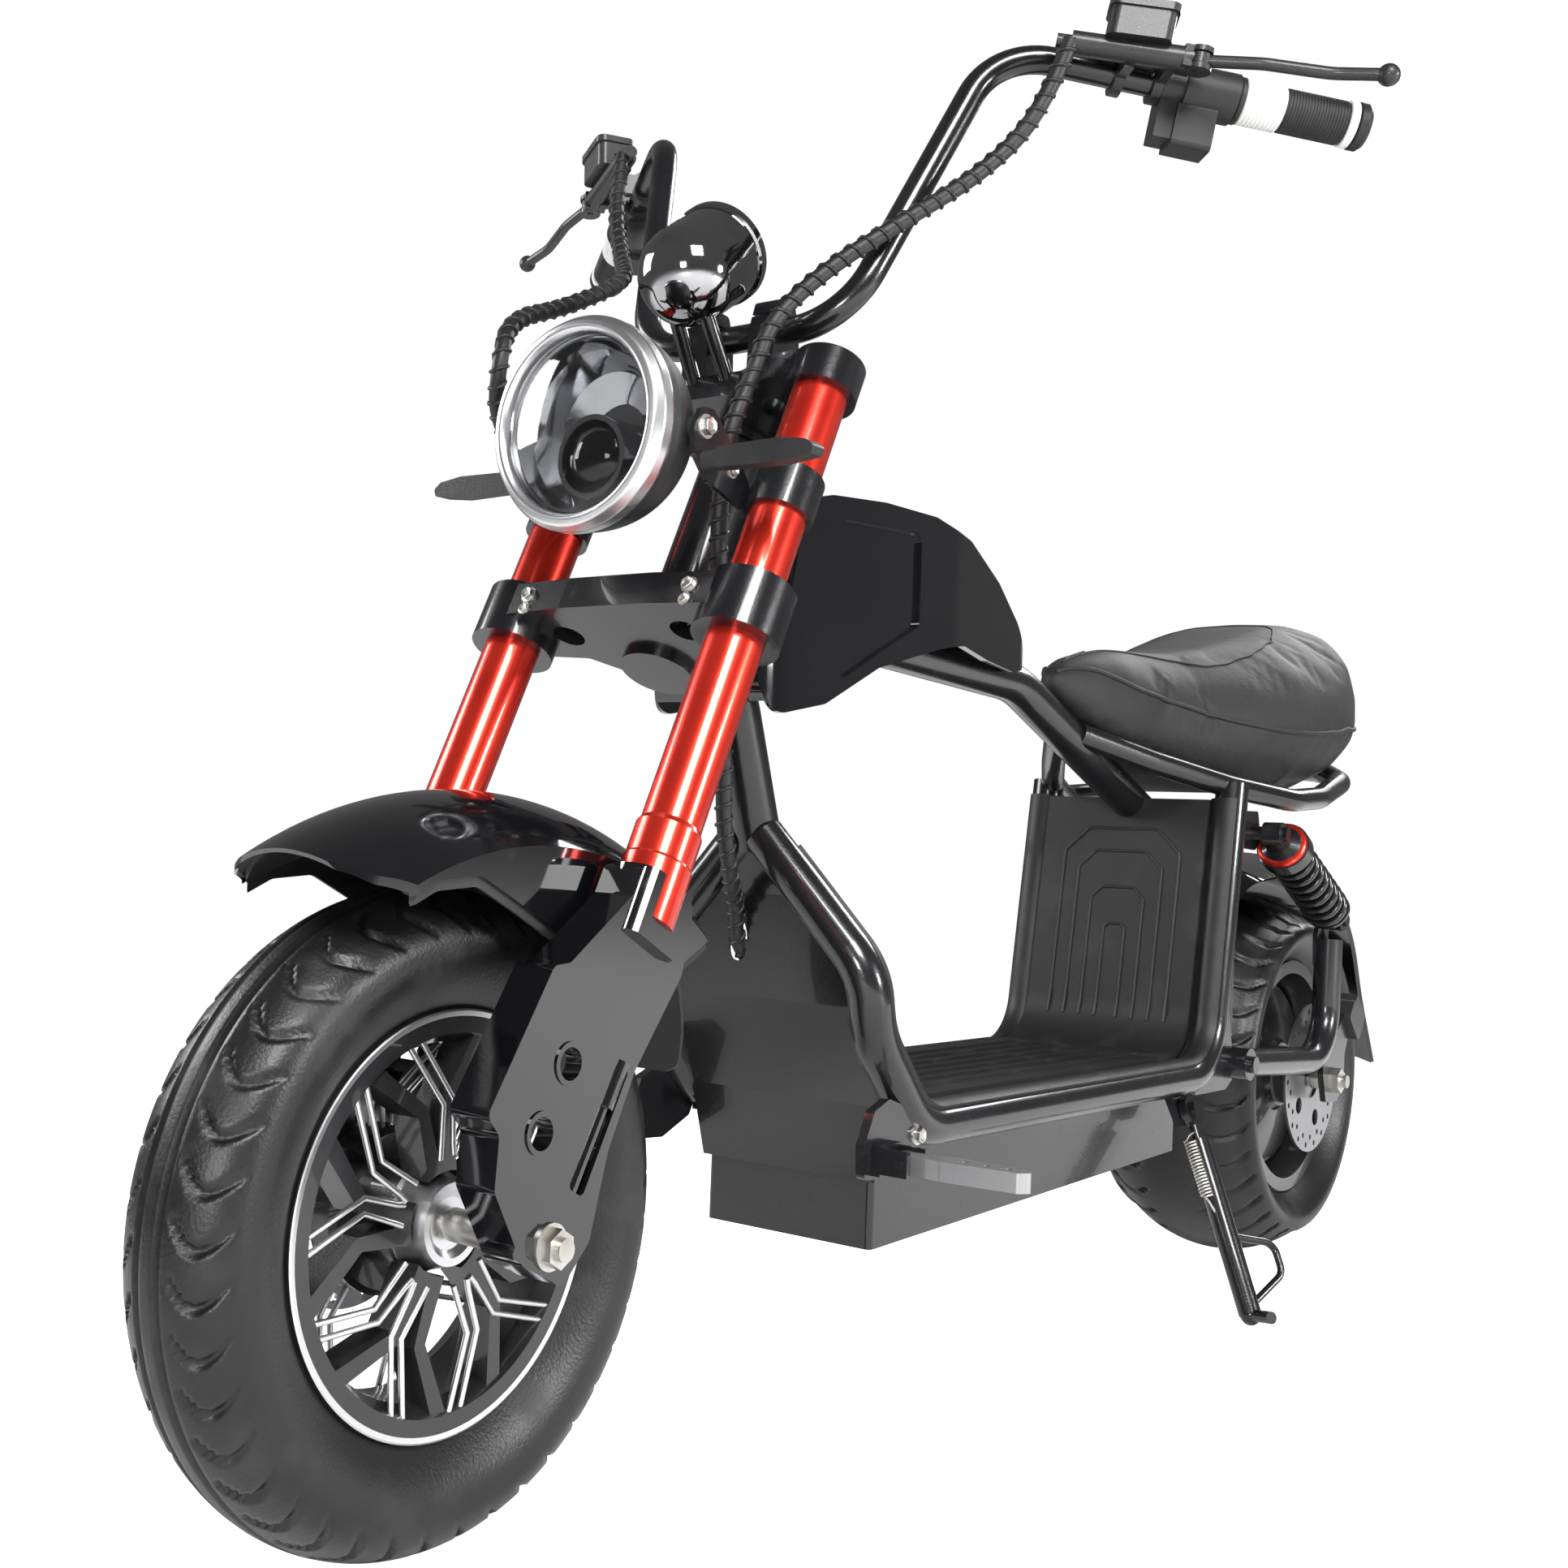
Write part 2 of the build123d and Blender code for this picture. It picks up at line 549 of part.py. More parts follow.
def controls():
    """Grips, levers, master cylinders and switch boxes at both bar ends."""
    grip = spun_x(
        [
            (0, 0), (0, GRIP_R + 3.5), (3, GRIP_R + 3.5), (4, GRIP_R), (86, GRIP_R), (87, GRIP_R + 1.5),
            (91, GRIP_R + 1.5), (92, GRIP_R), (102, GRIP_R - 1), (GRIP_LEN, GRIP_R - 5), (GRIP_LEN, 0),
        ],
        0, 0,
    )
    bar = NODES["handlebar"]
    keep("grips", both(HAND * grip) - bar)
    block = fillet(Box(32, 30, 36).edges().filter_by(Axis.X), 4)
    housing = bar_x(20, -42, 0, 0, 0) + Pos(-29, 2, -32) * block
    small = Pos(-51, 3, -28) * Box(16, 24, 34) + bar_x(15.5, -59, -41, 0, 0)
    keep("switch_boxes", both(HAND * (housing + small)) - bar)
    body = rod((-141, -28, 5), (-48, -44, 4), 9.5) + rod((-152, -26, 5), (-140, -28, 5), 6)
    turn = degrees(atan2(-16, 93))
    cup = fillet(Box(50, 34, 24).edges().filter_by(Axis.Z), 7)
    lid = fillet(Box(54, 38, 6).edges().filter_by(Axis.Z), 8)
    cup = Pos(-92, -37, 22) * Rot(0, 0, turn) * (cup + Pos(0, 0, 14) * lid)
    clamp = bar_x(16.5, -98, -90, 0, 0) + Pos(-94, -20, 2) * Box(8, 30, 20)
    clamp = clamp + bar_x(16.5, -67, -59.5, 0, 0) + Pos(-63, -24, 2) * Box(7, 30, 16)
    hinge = Pos(-44, -45, 0)
    yoke = hinge * (Pos(0, 0, 9) * Cylinder(10, 4, align=MIN) + Pos(0, 0, -5) * Cylinder(10, 4, align=MIN))
    web = Pos(-53, -42, 4) * Box(10, 20, 17)
    master = body + cup + clamp + yoke + web - hinge * Pos(0, 0, -0.9) * Cylinder(10.5, 9.8, align=MIN)
    master = master + hinge * Pos(0, 0, -6) * Cylinder(3, 20, align=MIN)
    keep("master_cylinders", both(HAND * master) - bar)
    blade = soft_line([(-44, -45, 4), (0, -62, 4), (50, -72, 3), (84, -88, 3)], 60)
    lever = sweep(Plane(origin=blade @ 0, z_dir=blade % 0) * Circle(4.8), path=blade)
    lever = lever + hinge * Cylinder(8.5, 8, align=MIN) + Pos(86, -88.5, 3) * Sphere(8.5)
    lever = lever - hinge * Pos(0, 0, -8) * Cylinder(3, 24, align=MIN)
    keep("brake_levers", both(HAND * (lever - master)))


# Front mudguard: circle about a centre ahead of the axle, in the upright machine frame
FENDER_CENTRE = (30.0, WHEEL_R - 39.0)
FENDER_R = 321.0
FENDER_SIDE = 80.0
FENDER_EDGE = [
    (-160, 400), (-70, 441), (-34, 444), (-3, 430), (64, 398), (109, 373), (150, 367), (205, 396),
    (262, 430), (262, 540), (-160, 540),
]
FENDER_PLAN = [
    (0, -138), (34, -130), (64, -112), (84, -84), (96, -40), (96, 300), (-96, 300), (-96, -40), (-84, -84),
    (-64, -112), (-34, -130),
]


def arch_band(centre, half, low_r, shoulder_r, crown_r, wall, from_angle, to_angle):
    """Curved shell about a centre with an arched top and two skirts."""
    outer = Curve() + [
        ThreePointArc((-half, 0, shoulder_r), (0, 0, crown_r), (half, 0, shoulder_r)),
        Line((half, 0, shoulder_r), (half, 0, low_r)),
        Line((half, 0, low_r), (half - wall, 0, low_r)),
        Line((half - wall, 0, low_r), (half - wall, 0, shoulder_r - wall)),
        ThreePointArc((half - wall, 0, shoulder_r - wall), (0, 0, crown_r - wall), (wall - half, 0, shoulder_r - wall)),
        Line((wall - half, 0, shoulder_r - wall), (wall - half, 0, low_r)),
        Line((wall - half, 0, low_r), (-half, 0, low_r)),
        Line((-half, 0, low_r), (-half, 0, shoulder_r)),
    ]
    band = revolve(make_face(outer), Axis.X, to_angle - from_angle)
    return Pos(0, *centre) * Rot(from_angle - 90, 0, 0) * band


def front_fender():
    """Black front mudguard, its grey liner and their mounts on the leg covers."""
    plan = Pos(0, 0, 100) * extrude(flat(FENDER_PLAN, 18), amount=500)
    shell = arch_band(FENDER_CENTRE, FENDER_SIDE, 195, 286, FENDER_R, 3, 48, 120)
    shell = shell & side_plate(FENDER_EDGE, -100, 100, 16) & plan
    shell = shell + both(bar_x(6, FENDER_SIDE - 2, LEG_IN + LEG_WALL, *fork_point(0, 5, 205)[1:]))
    keep("front_fender", shell - NODES["leg_covers"] - NODES["fork_tubes"])
    edge = [(y, z - 7) for y, z in FENDER_EDGE[:8]] + [(262, 422), (262, 540), (-160, 540)]
    liner = arch_band(FENDER_CENTRE, FENDER_SIDE - 3, 190, 283, FENDER_R - 3, 2.5, 49, 116)
    liner = liner & side_plate(edge, -100, 100, 14) & Pos(0, 6, 0) * plan
    inside = FENDER_SIDE - 3
    flap = arch_band((0, WHEEL_R), inside, 250, 254, 260, 2.5, 18, 66)
    half_trim = [(inside, 475), (inside, 402), (60, 372), (46, 330), (34, 302)]
    trim = half_trim + [(0, 288)] + [(-x, z) for x, z in reversed(half_trim)]
    flap = flap & front_prism(trim, 60, 330, 14)
    keep("fender_liner", liner + flap - NODES["front_fender"])


# Frame

LOOP_ROUTE = [
    (10, 380, 478), (LOOP_X, 388, 373), (LOOP_X, 398, 322), (LOOP_X, 468, DECK_Z),
    (LOOP_X, WHEELBASE - LOOP_REAR - 53, DECK_Z), (LOOP_X, WHEELBASE - LOOP_REAR, 556),
]
LOOP_BEND = 72.0
RAIL_ROUTE = [(12, 955, 599), (56, 1041, 575), (100, 1133, 555)]
RAIL_REAR = [(135, -197, 543), (138, -116, 549), (120, 17, 573), (72, 92, 590), (0, 112, 592)]
CROSS_Z = 520.0


def frame():
    """Head tube, backbone, down tube, loops, cross tubes and seat rail."""
    head = upright_bar(HEAD_TUBE_R, 0, STEM_BACK, LOWER_CLAMP[1] + HEAD_GAP, UPPER_CLAMP[0] - HEAD_GAP)
    rear = WHEELBASE - LOOP_REAR
    backbone = pipe(
        [(0, 320, 704), (0, 560, 654), (0, 830, 642), (0, 1000, 578), (0, rear, CROSS_Z + 6)], BACKBONE_R, 160
    )
    down = pipe([(0, 288, 650), (0, 343, 590), (0, 387, 470)], DOWN_TUBE_R, 90)
    body = head + backbone + down
    body = body + side_plate([(330, 700), (430, 676), (352, 600), (318, 640)], -3, 3)
    body = body - upright_bar(STEM_R + RUNNING_GAP, 0, STEM_BACK, LOWER_CLAMP[1] - 20, UPPER_CLAMP[0] + 20)
    loop = pipe(LOOP_ROUTE, LOOP_R, LOOP_BEND) - down
    front_bridge = rod((-LOOP_X, BOX_Y[0] + 170, DECK_Z + 4), (LOOP_X, BOX_Y[0] + 170, DECK_Z + 4), 10)
    rear_bridge = rod((-LOOP_X, BOX_Y[1] + 15, DECK_Z + 4), (LOOP_X, BOX_Y[1] + 15, DECK_Z + 4), 10)
    cross = rod((-LOOP_X, rear - 4, CROSS_Z), (LOOP_X, rear - 4, CROSS_Z), 14)
    gusset = side_plate(
        [
            (rear - 40, 333), (rear - 22, 338), (rear - 6, 270), (rear + 8, 244), (rear - 22, 229),
            (rear - 112, 229), (rear - 74, 275),
        ],
        LOOP_X + 5, LOOP_X + 9, 5,
    )
    stay = side_plate(
        [
            (rear - 10, 528), (rear + 100, 530), (rear + 110, 498), (rear + 94, 486), (rear + 20, 490),
            (rear - 6, 496),
        ],
        LOOP_X - 12, LOOP_X - 8, 5,
    )
    bolt = bar_x(8, LOOP_X - 10, SHOCK_TOP[0] + 16, from_axle(SHOCK_TOP[1]), SHOCK_TOP[2])
    pivot = bar_x(9, LOOP_X + 4, ARM_X + 22, from_axle(-PIVOT_AHEAD), DECK_Z + 11)
    side = loop + gusset + stay + bolt + pivot
    keep("side_loops", both(side) + front_bridge + rear_bridge + cross)
    keep("main_frame", body - cross)
    route = RAIL_ROUTE + [(x, from_axle(y), z) for x, y, z in RAIL_REAR]
    rail = pipe(route, RAIL_R, 90)
    keep("seat_rail", both(rail) - NODES["main_frame"] - NODES["side_loops"])


COVER_OUTLINE = [
    (352, 744), (391, 755), (474, 762), (561, 763), (630, 752), (698, 723), (748, 690), (782, 651),
    (740, 643), (676, 648), (618, 656), (574, 648), (472, 622), (390, 585), (318, 571), (300, 600), (330, 642),
]
COVER_HOLLOW = [
    (358, 738), (391, 748), (474, 755), (561, 756), (626, 745), (692, 717), (734, 685), (760, 657),
    (740, 600), (676, 610), (618, 620), (574, 610), (472, 590), (390, 550), (318, 540), (309, 600), (337, 642),
]
COVER_PANEL = [(408, 604), (408, 738), (536, 744), (536, 664), (470, 634)]
SEAT_STATIONS = [
    # y from the rear axle, half-width, bottom, top
    (-529, 7, 650, 664),
    (-509, 20, 636, 677),
    (-474, 38, 617, 685),
    (-434, 52, 602, 689),
    (-374, 65, 588, 689),
    (-304, 88, 572, 694),
    (-234, 116, 562, 706),
    (-154, 138, 558, 725),
    (-74, SEAT_HALF, 564, 746),
    (6, 137, 580, 763),
    (66, 115, 596, 766),
    (106, 80, 612, 750),
    (130, 40, 634, 722),
]
SEAT_SHAPE = [
    # share of the half-width, share of the height
    (-0.8, 0), (0.8, 0), (1, 0.22), (1, 0.5), (0.93, 0.74), (0.72, 0.92), (0.36, 1), (-0.36, 1), (-0.72, 0.92),
    (-0.93, 0.74), (-1, 0.5), (-1, 0.22),
]
REAR_FENDER = [
    (-248, 272), (-248, 440), (-176, 470), (36, 488), (138, 446), (200, 392), (238, 312), (292, 228),
]


def foot_mat():
    """Moulded mat: floor, upswept back, ribs and rolled borders over the side tubes."""
    under = DECK_Z + LOOP_R - 3
    front = 452
    foot_y = LOOP_ROUTE[-2][1] - 14
    head_y, head_z = LOOP_ROUTE[-1][1] - LOOP_R - 3, 538
    lower = soft_line([(front, under), (foot_y, under), (head_y, head_z)], 64)
    upper = soft_line([(front, under + MAT_T), (foot_y - MAT_T, under + MAT_T), (head_y - MAT_T, head_z)], 58)
    sheet = make_face(Curve() + [lower, Line(lower @ 1, upper @ 1), upper, Line(upper @ 0, lower @ 0)])
    width = LOOP_X - LOOP_R + 2
    mat = side_location(-width) * extrude(sheet, amount=2 * width)
    for x in (-66, -44, -22, 0, 22, 44, 66):
        rib = Box(5, foot_y - front - 110, 3)
        mat = mat + Pos(x, (front + foot_y) / 2 - 20, under + MAT_T + 1) * rib
    aim = Vector(*LOOP_ROUTE[1]) - Vector(*LOOP_ROUTE[0])
    back = (Vector(*LOOP_ROUTE[-1]) - Vector(*LOOP_ROUTE[-2])).normalized()
    start = Vector(*LOOP_ROUTE[0]) + aim * 0.16
    end = Vector(*LOOP_ROUTE[-1]) - back * 19
    path = soft_line([tuple(start)] + LOOP_ROUTE[1:-1] + [tuple(end)], LOOP_BEND)
    over, inner = LOOP_R + MAT_BORDER, LOOP_R
    rim = [(cos(radians(a)), -sin(radians(a))) for a in (50, 115, 180)]
    big = [(over * a, over * b) for a, b in rim]
    small = [(inner * a, inner * b) for a, b in rim]
    roll = Curve() + [
        ThreePointArc(big[0], big[1], big[2]), Line(big[2], small[2]),
        ThreePointArc(small[2], small[1], small[0]), Line(small[0], big[0]),
    ]
    place = Plane(origin=path @ 0, x_dir=(1, 0, 0), z_dir=path % 0)
    border = sweep(place * make_face(roll), path=path)
    mat = mat + both(border)
    for name in ("side_loops", "seat_rail", "main_frame"):
        mat = mat - NODES[name]
    keep("foot_mat", mat)


def apron():
    """Leg shield between the loops, with the hole for the rear brake hose."""
    profile = [
        (373, 476), (381, 430), (389, 345), (440, 262), (447, 200), (450, 200), (443, 263), (392, 346),
        (384, 431), (376, 477),
    ]
    front = [(-22, 480), (-58, 430), (14 - LOOP_X, 350), (12 - LOOP_X, 262), (-BOX_HALF - 4, 200)]
    front = front + [(-x, z) for x, z in reversed(front)]
    shield = side_plate(profile, -LOOP_X, LOOP_X) & front_prism(front, 300, 500)
    shield = shield - pipe(REAR_HOSE_LOW, HOSE_R + 2, 70)
    for name in ("side_loops", "main_frame", "foot_mat", "battery_box"):
        shield = shield - NODES[name]
    keep("apron", shield)


def battery_box():
    """Battery case with a flange that carries it between the side tubes."""
    top = DECK_Z - 10
    front, rear = BOX_Y
    box = side_plate([(front, top), (rear, top), (rear, BOX_LOW[1]), (front, BOX_LOW[0])], -BOX_HALF, BOX_HALF)
    flange = side_plate([(front, top), (rear, top), (rear, top + 6), (front, top + 6)], 6 - LOOP_X, LOOP_X - 6)
    keep("battery_box", fillet(box.edges().filter_by(Axis.Z), 5) + (flange - NODES["side_loops"]))


def body_cover():
    """Hollow cover over the backbone, open below, with a recessed panel on each side."""
    cover = side_plate(COVER_OUTLINE, -COVER_HALF, COVER_HALF, 26)
    rear = 40.0
    plan = [
        (-COVER_HALF, 280), (COVER_HALF, 280), (COVER_HALF, 600), (rear, 790), (-rear, 790), (-COVER_HALF, 600),
    ]
    cover = cover & Pos(0, 0, 500) * extrude(flat(plan, 120), amount=300)
    inner = COVER_HALF - COVER_WALL
    hollow = side_plate(COVER_HOLLOW, -inner, inner)
    core = [(-inner, 270), (inner, 270), (inner, 590), (rear - 6, 782), (6 - rear, 782), (-inner, 590)]
    hollow = hollow & Pos(0, 0, 500) * extrude(flat(core, 110), amount=300)
    panel = side_plate(COVER_PANEL, COVER_HALF - 4, COVER_HALF + 1, 8)
    keep("body_cover", cover - hollow - both(panel) - NODES["main_frame"])


def seat():
    """Wide saddle lofted over its stations."""
    sections = []
    for y, half, low, high in SEAT_STATIONS:
        points = [(half * a, from_axle(y), low + (high - low) * b) for a, b in SEAT_SHAPE]
        sections.append(make_face(Polyline(*points, close=True)))
    saddle = loft(sections, ruled=True)
    keep("seat", saddle - NODES["seat_rail"] - NODES["main_frame"] - NODES["side_loops"])


def rear_fender():
    """Rear mudguard: an arched sheet along its crown line, with its stays."""
    path = soft_line([(0, from_axle(y), z) for y, z in REAR_FENDER], 300)
    half, sag, wall = FENDER_HALF, 20, 3
    arch = Curve() + [
        ThreePointArc((-half, sag), (0, 0), (half, sag)), Line((half, sag), (half - 4, sag + wall)),
        ThreePointArc((half - 4, sag + wall), (0, wall), (4 - half, sag + wall)),
        Line((4 - half, sag + wall), (-half, sag)),
    ]
    place = Plane(origin=path @ 0, x_dir=(1, 0, 0), z_dir=path % 0)
    shell = sweep(place * make_face(arch), path=path)
    rear = WHEELBASE - LOOP_REAR
    stays = both(rod((62, rear + 2, CROSS_Z - 2), (62, from_axle(-212), 447), 5))
    rear_stays = both(rod((ARM_X - 4, from_axle(-21), 378), (FENDER_HALF - 8, from_axle(6), 468), 4.5))
    keep("rear_fender", shell + (stays - NODES["side_loops"]) + rear_stays)


def shock():
    """Left shock: eyes, damper body, coil turns and preload collar."""
    top = Vector(SHOCK_TOP[0], from_axle(SHOCK_TOP[1]), SHOCK_TOP[2])
    low = Vector(SHOCK_LOW[0], from_axle(SHOCK_LOW[1]), SHOCK_LOW[2])
    length = (low - top).length
    place = Plane(origin=top, x_dir=(1, 0, 0), z_dir=(low - top).normalized()).location
    start, end = 52.0, length - 30
    sleeve = COIL_R - 2 * COIL_WIRE_R + 0.6
    body = spun([
        (0, 6), (12, 6), (12, 20), (22, 24), (22, 28), (29, 30), (29, 46), (25, start - 2), (sleeve, start - 2),
        (sleeve, end + 1), (25, end + 1), (25, end + 5), (10, end + 8), (10, length - 4), (0, length - 4),
    ])
    pitch = (end - start) / COIL_TURNS
    tilt = degrees(atan2(pitch / 2, 2 * (COIL_R - COIL_WIRE_R)))
    for n in range(COIL_TURNS):
        turn = Rot(tilt, 0, 0) * Torus(COIL_R - COIL_WIRE_R, COIL_WIRE_R)
        body = body + Pos(0, 0, start + pitch * (n + 0.5)) * turn
    body = place * body
    body = body + bar_x(13, SHOCK_TOP[0] - 10, SHOCK_TOP[0] + 10, top.Y, top.Z)
    body = body + bar_x(13, SHOCK_LOW[0] - 10, SHOCK_LOW[0] + 10, low.Y, low.Z)
    return body - bar_x(8, 80, 160, top.Y, top.Z) - bar_x(8, 80, 160, low.Y, low.Z)


def caliper(x, y, z, turn, side):
    """Brake caliper straddling a disc: two halves, a bridge and a hose fitting."""
    gap = 5.2 + DISC_T / 2
    outer = Pos(side * (gap + 13), 0, 0) * fillet(Box(26, 46, 30).edges().filter_by(Axis.X), 6)
    inner = Pos(-side * (gap + 6), 0, 0) * Box(12, 46, 30)
    bridge = Pos(side * 7, 0, 19) * Box(2 * gap + 38, 40, 10)
    fitting = Pos(side * 18, 12, 24) * Cylinder(6, 10)
    return Pos(x + DISC_T / 2, y, z) * Rot(turn, 0, 0) * (outer + inner + bridge + fitting)


def rear_end():
    """Swingarm, axle, shocks and the calipers."""
    pivot_y = from_axle(-PIVOT_AHEAD)
    arm = pipe(
        [(ARM_X, pivot_y, DECK_Z + 11), (ARM_X, from_axle(-26), DECK_Z - 3), (ARM_X + 1, from_axle(-22), 385)],
        ARM_R, 62,
    )
    eye = bar_x(17, ARM_X - 13, ARM_X + 16, pivot_y, DECK_Z + 11)
    plate = side_plate(
        [
            (from_axle(-30), 274), (from_axle(18), 276), (from_axle(48), 300), (from_axle(66), 284),
            (from_axle(44), 246), (from_axle(42), 206), (from_axle(18), 190), (from_axle(-20), 192),
            (from_axle(-32), 226),
        ],
        ARM_X - 5, ARM_X + 1.5, 5,
    )
    low = (from_axle(SHOCK_LOW[1]), SHOCK_LOW[2])
    ear = side_plate(
        [
            (from_axle(-34), 352), (from_axle(-36), 388), (low[0] - 12, low[1] + 15), (low[0] + 8, low[1] + 15),
            (low[0] + 15, low[1] - 4), (from_axle(-8), 352),
        ],
        ARM_X - 13, ARM_X - 8, 6,
    )
    bolt = bar_x(8, ARM_X - 12, SHOCK_LOW[0] + 15, *low)
    arm = arm + plate + ear + bolt + eye
    arm = arm - bar_x(9, 90, 160, pivot_y, DECK_Z + 11) - bar_x(AXLE_R, 90, 160, WHEELBASE, WHEEL_R)
    keep("swingarm", both(arm) - NODES["side_loops"] - NODES["rear_fender"])
    keep("shocks", both(shock()) - NODES["side_loops"] - NODES["swingarm"] - NODES["rear_fender"])
    face = ARM_X + 1.5
    axle = bar_x(AXLE_R, -face - 18, face + 18, WHEELBASE, WHEEL_R)
    nuts = both(nut_x(26, face, face + 11, WHEELBASE, WHEEL_R))
    spacer = ring_x(12, AXLE_R, REAR_DISC_X + DISC_T + 0.5, ARM_X - 5, WHEELBASE, WHEEL_R)
    spacer_right = ring_x(12, AXLE_R, -ARM_X + 5, -64.5, WHEELBASE, WHEEL_R)
    keep("rear_axle", axle + nuts + spacer + spacer_right)
    mount = fork_plate([(-12, 58), (42, 58), (42, 104), (-12, 104)], -LEG_IN - 5, -LEG_IN, 6)
    front = (DISC_R + 6) * cos(radians(52)), WHEEL_R + (DISC_R + 6) * sin(radians(52))
    keep("front_caliper", caliper(FRONT_DISC_X, *front, -38, -1) + mount - NODES["leg_covers"])
    reach = REAR_DISC_R + 6
    rear = from_axle(reach * cos(radians(47))), WHEEL_R + reach * sin(radians(47))
    keep("rear_caliper", caliper(REAR_DISC_X, *rear, -43, 1) - NODES["swingarm"])


def stand():
    """Side stand on a tilted pivot, so that the leg tucks along the frame, with its lug and spring."""
    pivot = Vector(*STAND_PIVOT)
    down = (Vector(*STAND_AIM) - pivot).normalized()
    tucked = Vector(*STAND_TUCKED).normalized()
    axis = down.cross(tucked).normalized()
    place = Plane(origin=pivot, x_dir=tucked, z_dir=axis).location
    lift = (FRONT_CROWN_R + REAR_CROWN_R) / 2 * (1 - cos(radians(LEAN)))
    start = pivot + axis * 4
    slope = tan(radians(LEAN))
    reach = (start.X * slope + (STAND_FOOT_R - lift) / cos(radians(LEAN)) - start.Z) / (down.Z - down.X * slope)
    foot = start + down * reach
    eye = place * Cylinder(15, 8, align=MIN)
    neck = rod(tuple(start + down * 12), tuple(start + down * 40), 4.7)
    leg = rod(tuple(start + down * 30), tuple(foot), STAND_LEG_R)
    toe = rod(tuple(foot), tuple(foot + Vector(26, -16, 5)), 6) + Pos(*foot) * Sphere(STAND_FOOT_R)
    near = start + down * (reach * 0.62)
    out = Vector(33, 37, -7)
    tang = pipe([tuple(near), tuple(near + out), tuple(near + out + down * 30), tuple(foot - down * 6)], 3.6, 14)
    body = eye + neck + leg + toe + tang
    keep("side_stand", body - place * Pos(0, 0, -4) * Cylinder(6 + RUNNING_GAP, 16, align=MIN))
    lug = place * Pos(0, 16, -5) * Box(34, 56, 8)
    for name in ("side_loops", "battery_box", "foot_mat"):
        lug = lug - NODES[name]
    pin = place * Pos(0, 0, -9) * Cylinder(6, 18, align=MIN)
    head = place * Pos(0, 0, 8.2) * extrude(RegularPolygon(10, 6), amount=6)
    keep("stand_bracket", lug + pin + head)
    top = start + down * 22 - tucked * 20
    low = start + down * 92 - tucked * 17
    tail = pipe([tuple(low), tuple(low + down * 14 + tucked * 2), tuple(start + down * 112)], 1.8, 6)
    hook = rod(tuple(top), tuple(start + down * 20), 2.2)
    keep("stand_spring", rod(tuple(top), tuple(low), 6) + tail + hook - NODES["side_stand"])


def pegs():
    """Folding foot pegs and their brackets on the side tubes."""
    x, y, z = PEG_PIVOT
    base = side_plate(
        [
            (y - 20, z - 16), (y + 24, z - 18), (y + 62, z - 2), (y + 72, z + 16), (y + 60, z + 30),
            (y + 14, z + 44), (y - 8, z + 36), (y - 22, z + 10),
        ],
        x - 34, x - 26, 5,
    )
    arm = Pos(x - 22, y, z) * Box(14, 33, 24)
    cheeks = Pos(x - 5, y - 14, z) * Box(26, 5, 20) + Pos(x - 5, y + 14, z) * Box(26, 5, 20)
    pin = Pos(x, y, z) * Rot(90, 0, 0) * Cylinder(4, 36)
    keep("peg_brackets", both(base + arm + cheeks + pin) - NODES["side_loops"])
    outline = [
        (-9, -11), (20, -11), (34, -14), (PEG_LEN, -9), (PEG_LEN + 6, 0), (PEG_LEN, 10), (34, 14), (20, 11), (-9, 11),
    ]
    peg = Pos(x, y, z - 8) * extrude(flat(outline, 4), amount=15)
    for n in range(3):
        peg = peg - Pos(x + 46 + 18 * n, y, z) * Cylinder(5, 40)
    peg = peg - Pos(x, y, z) * Rot(90, 0, 0) * Cylinder(4 + RUNNING_GAP, 60)
    keep("foot_peg_left", peg)
    keep("foot_peg_right", mirror(peg, Plane.YZ))


# Routes of the hoses, in the upright machine frame
REAR_HOSE_TOP = [
    (224, 449, 1110), (206, 442, 1056), (176, 410, 1004), (138, 352, 955), (98, 306, 912), (72, 270, 866),
    fork_point(66, -34, 668), fork_point(58, -30, 610), fork_point(50, 0, 560), fork_point(46, 30, 520),
]
REAR_HOSE_LOW = [
    fork_point(44.6, 38, 512), fork_point(30, 86, 496), fork_point(18, 97, 470), (14, 316, 540), (10, 322, 492),
    (6, 340, 446), (-10, 374, 420), (-15, 382, 388), (-15, 404, 372),
]
FRONT_HOSE = [
    (-224, 449, 1110), (-216, 430, 1050), (-176, 396, 985), (-130, 346, 948), (-138, 272, 908), (-136, 206, 884),
    (-118, 176, 838), (-146, 204, 800), fork_point(-146, 30, 590), fork_point(-138, 32, 420),
    fork_point(-130, 46, 330), fork_point(-112, 62, 250), fork_point(-84, 62, 190), (-78, 100, 326),
    (-74.7, 73, 291.5),
]


def hoses():
    """Brake hoses: the rear one in a steering part and a frame part."""
    upper = hose("rear hose, steering part", REAR_HOSE_TOP, HOSE_R, 70)
    keep("rear_brake_hose_upper", upper - NODES["master_cylinders"])
    keep("rear_brake_hose_lower", hose("rear hose, frame part", REAR_HOSE_LOW, HOSE_R, 70))
    front = hose("front hose", FRONT_HOSE, HOSE_R, 70)
    keep("front_brake_hose", front - NODES["master_cylinders"] - NODES["front_caliper"])


def build():
    """Make every node."""
    front_wheel()
    rear_wheel()
    fork()
    headlight()
    handlebar()
    controls()
    front_fender()
    frame()
    foot_mat()
    battery_box()
    apron()
    body_cover()
    seat()
    rear_fender()
    rear_end()
    stand()
    pegs()
    hoses()


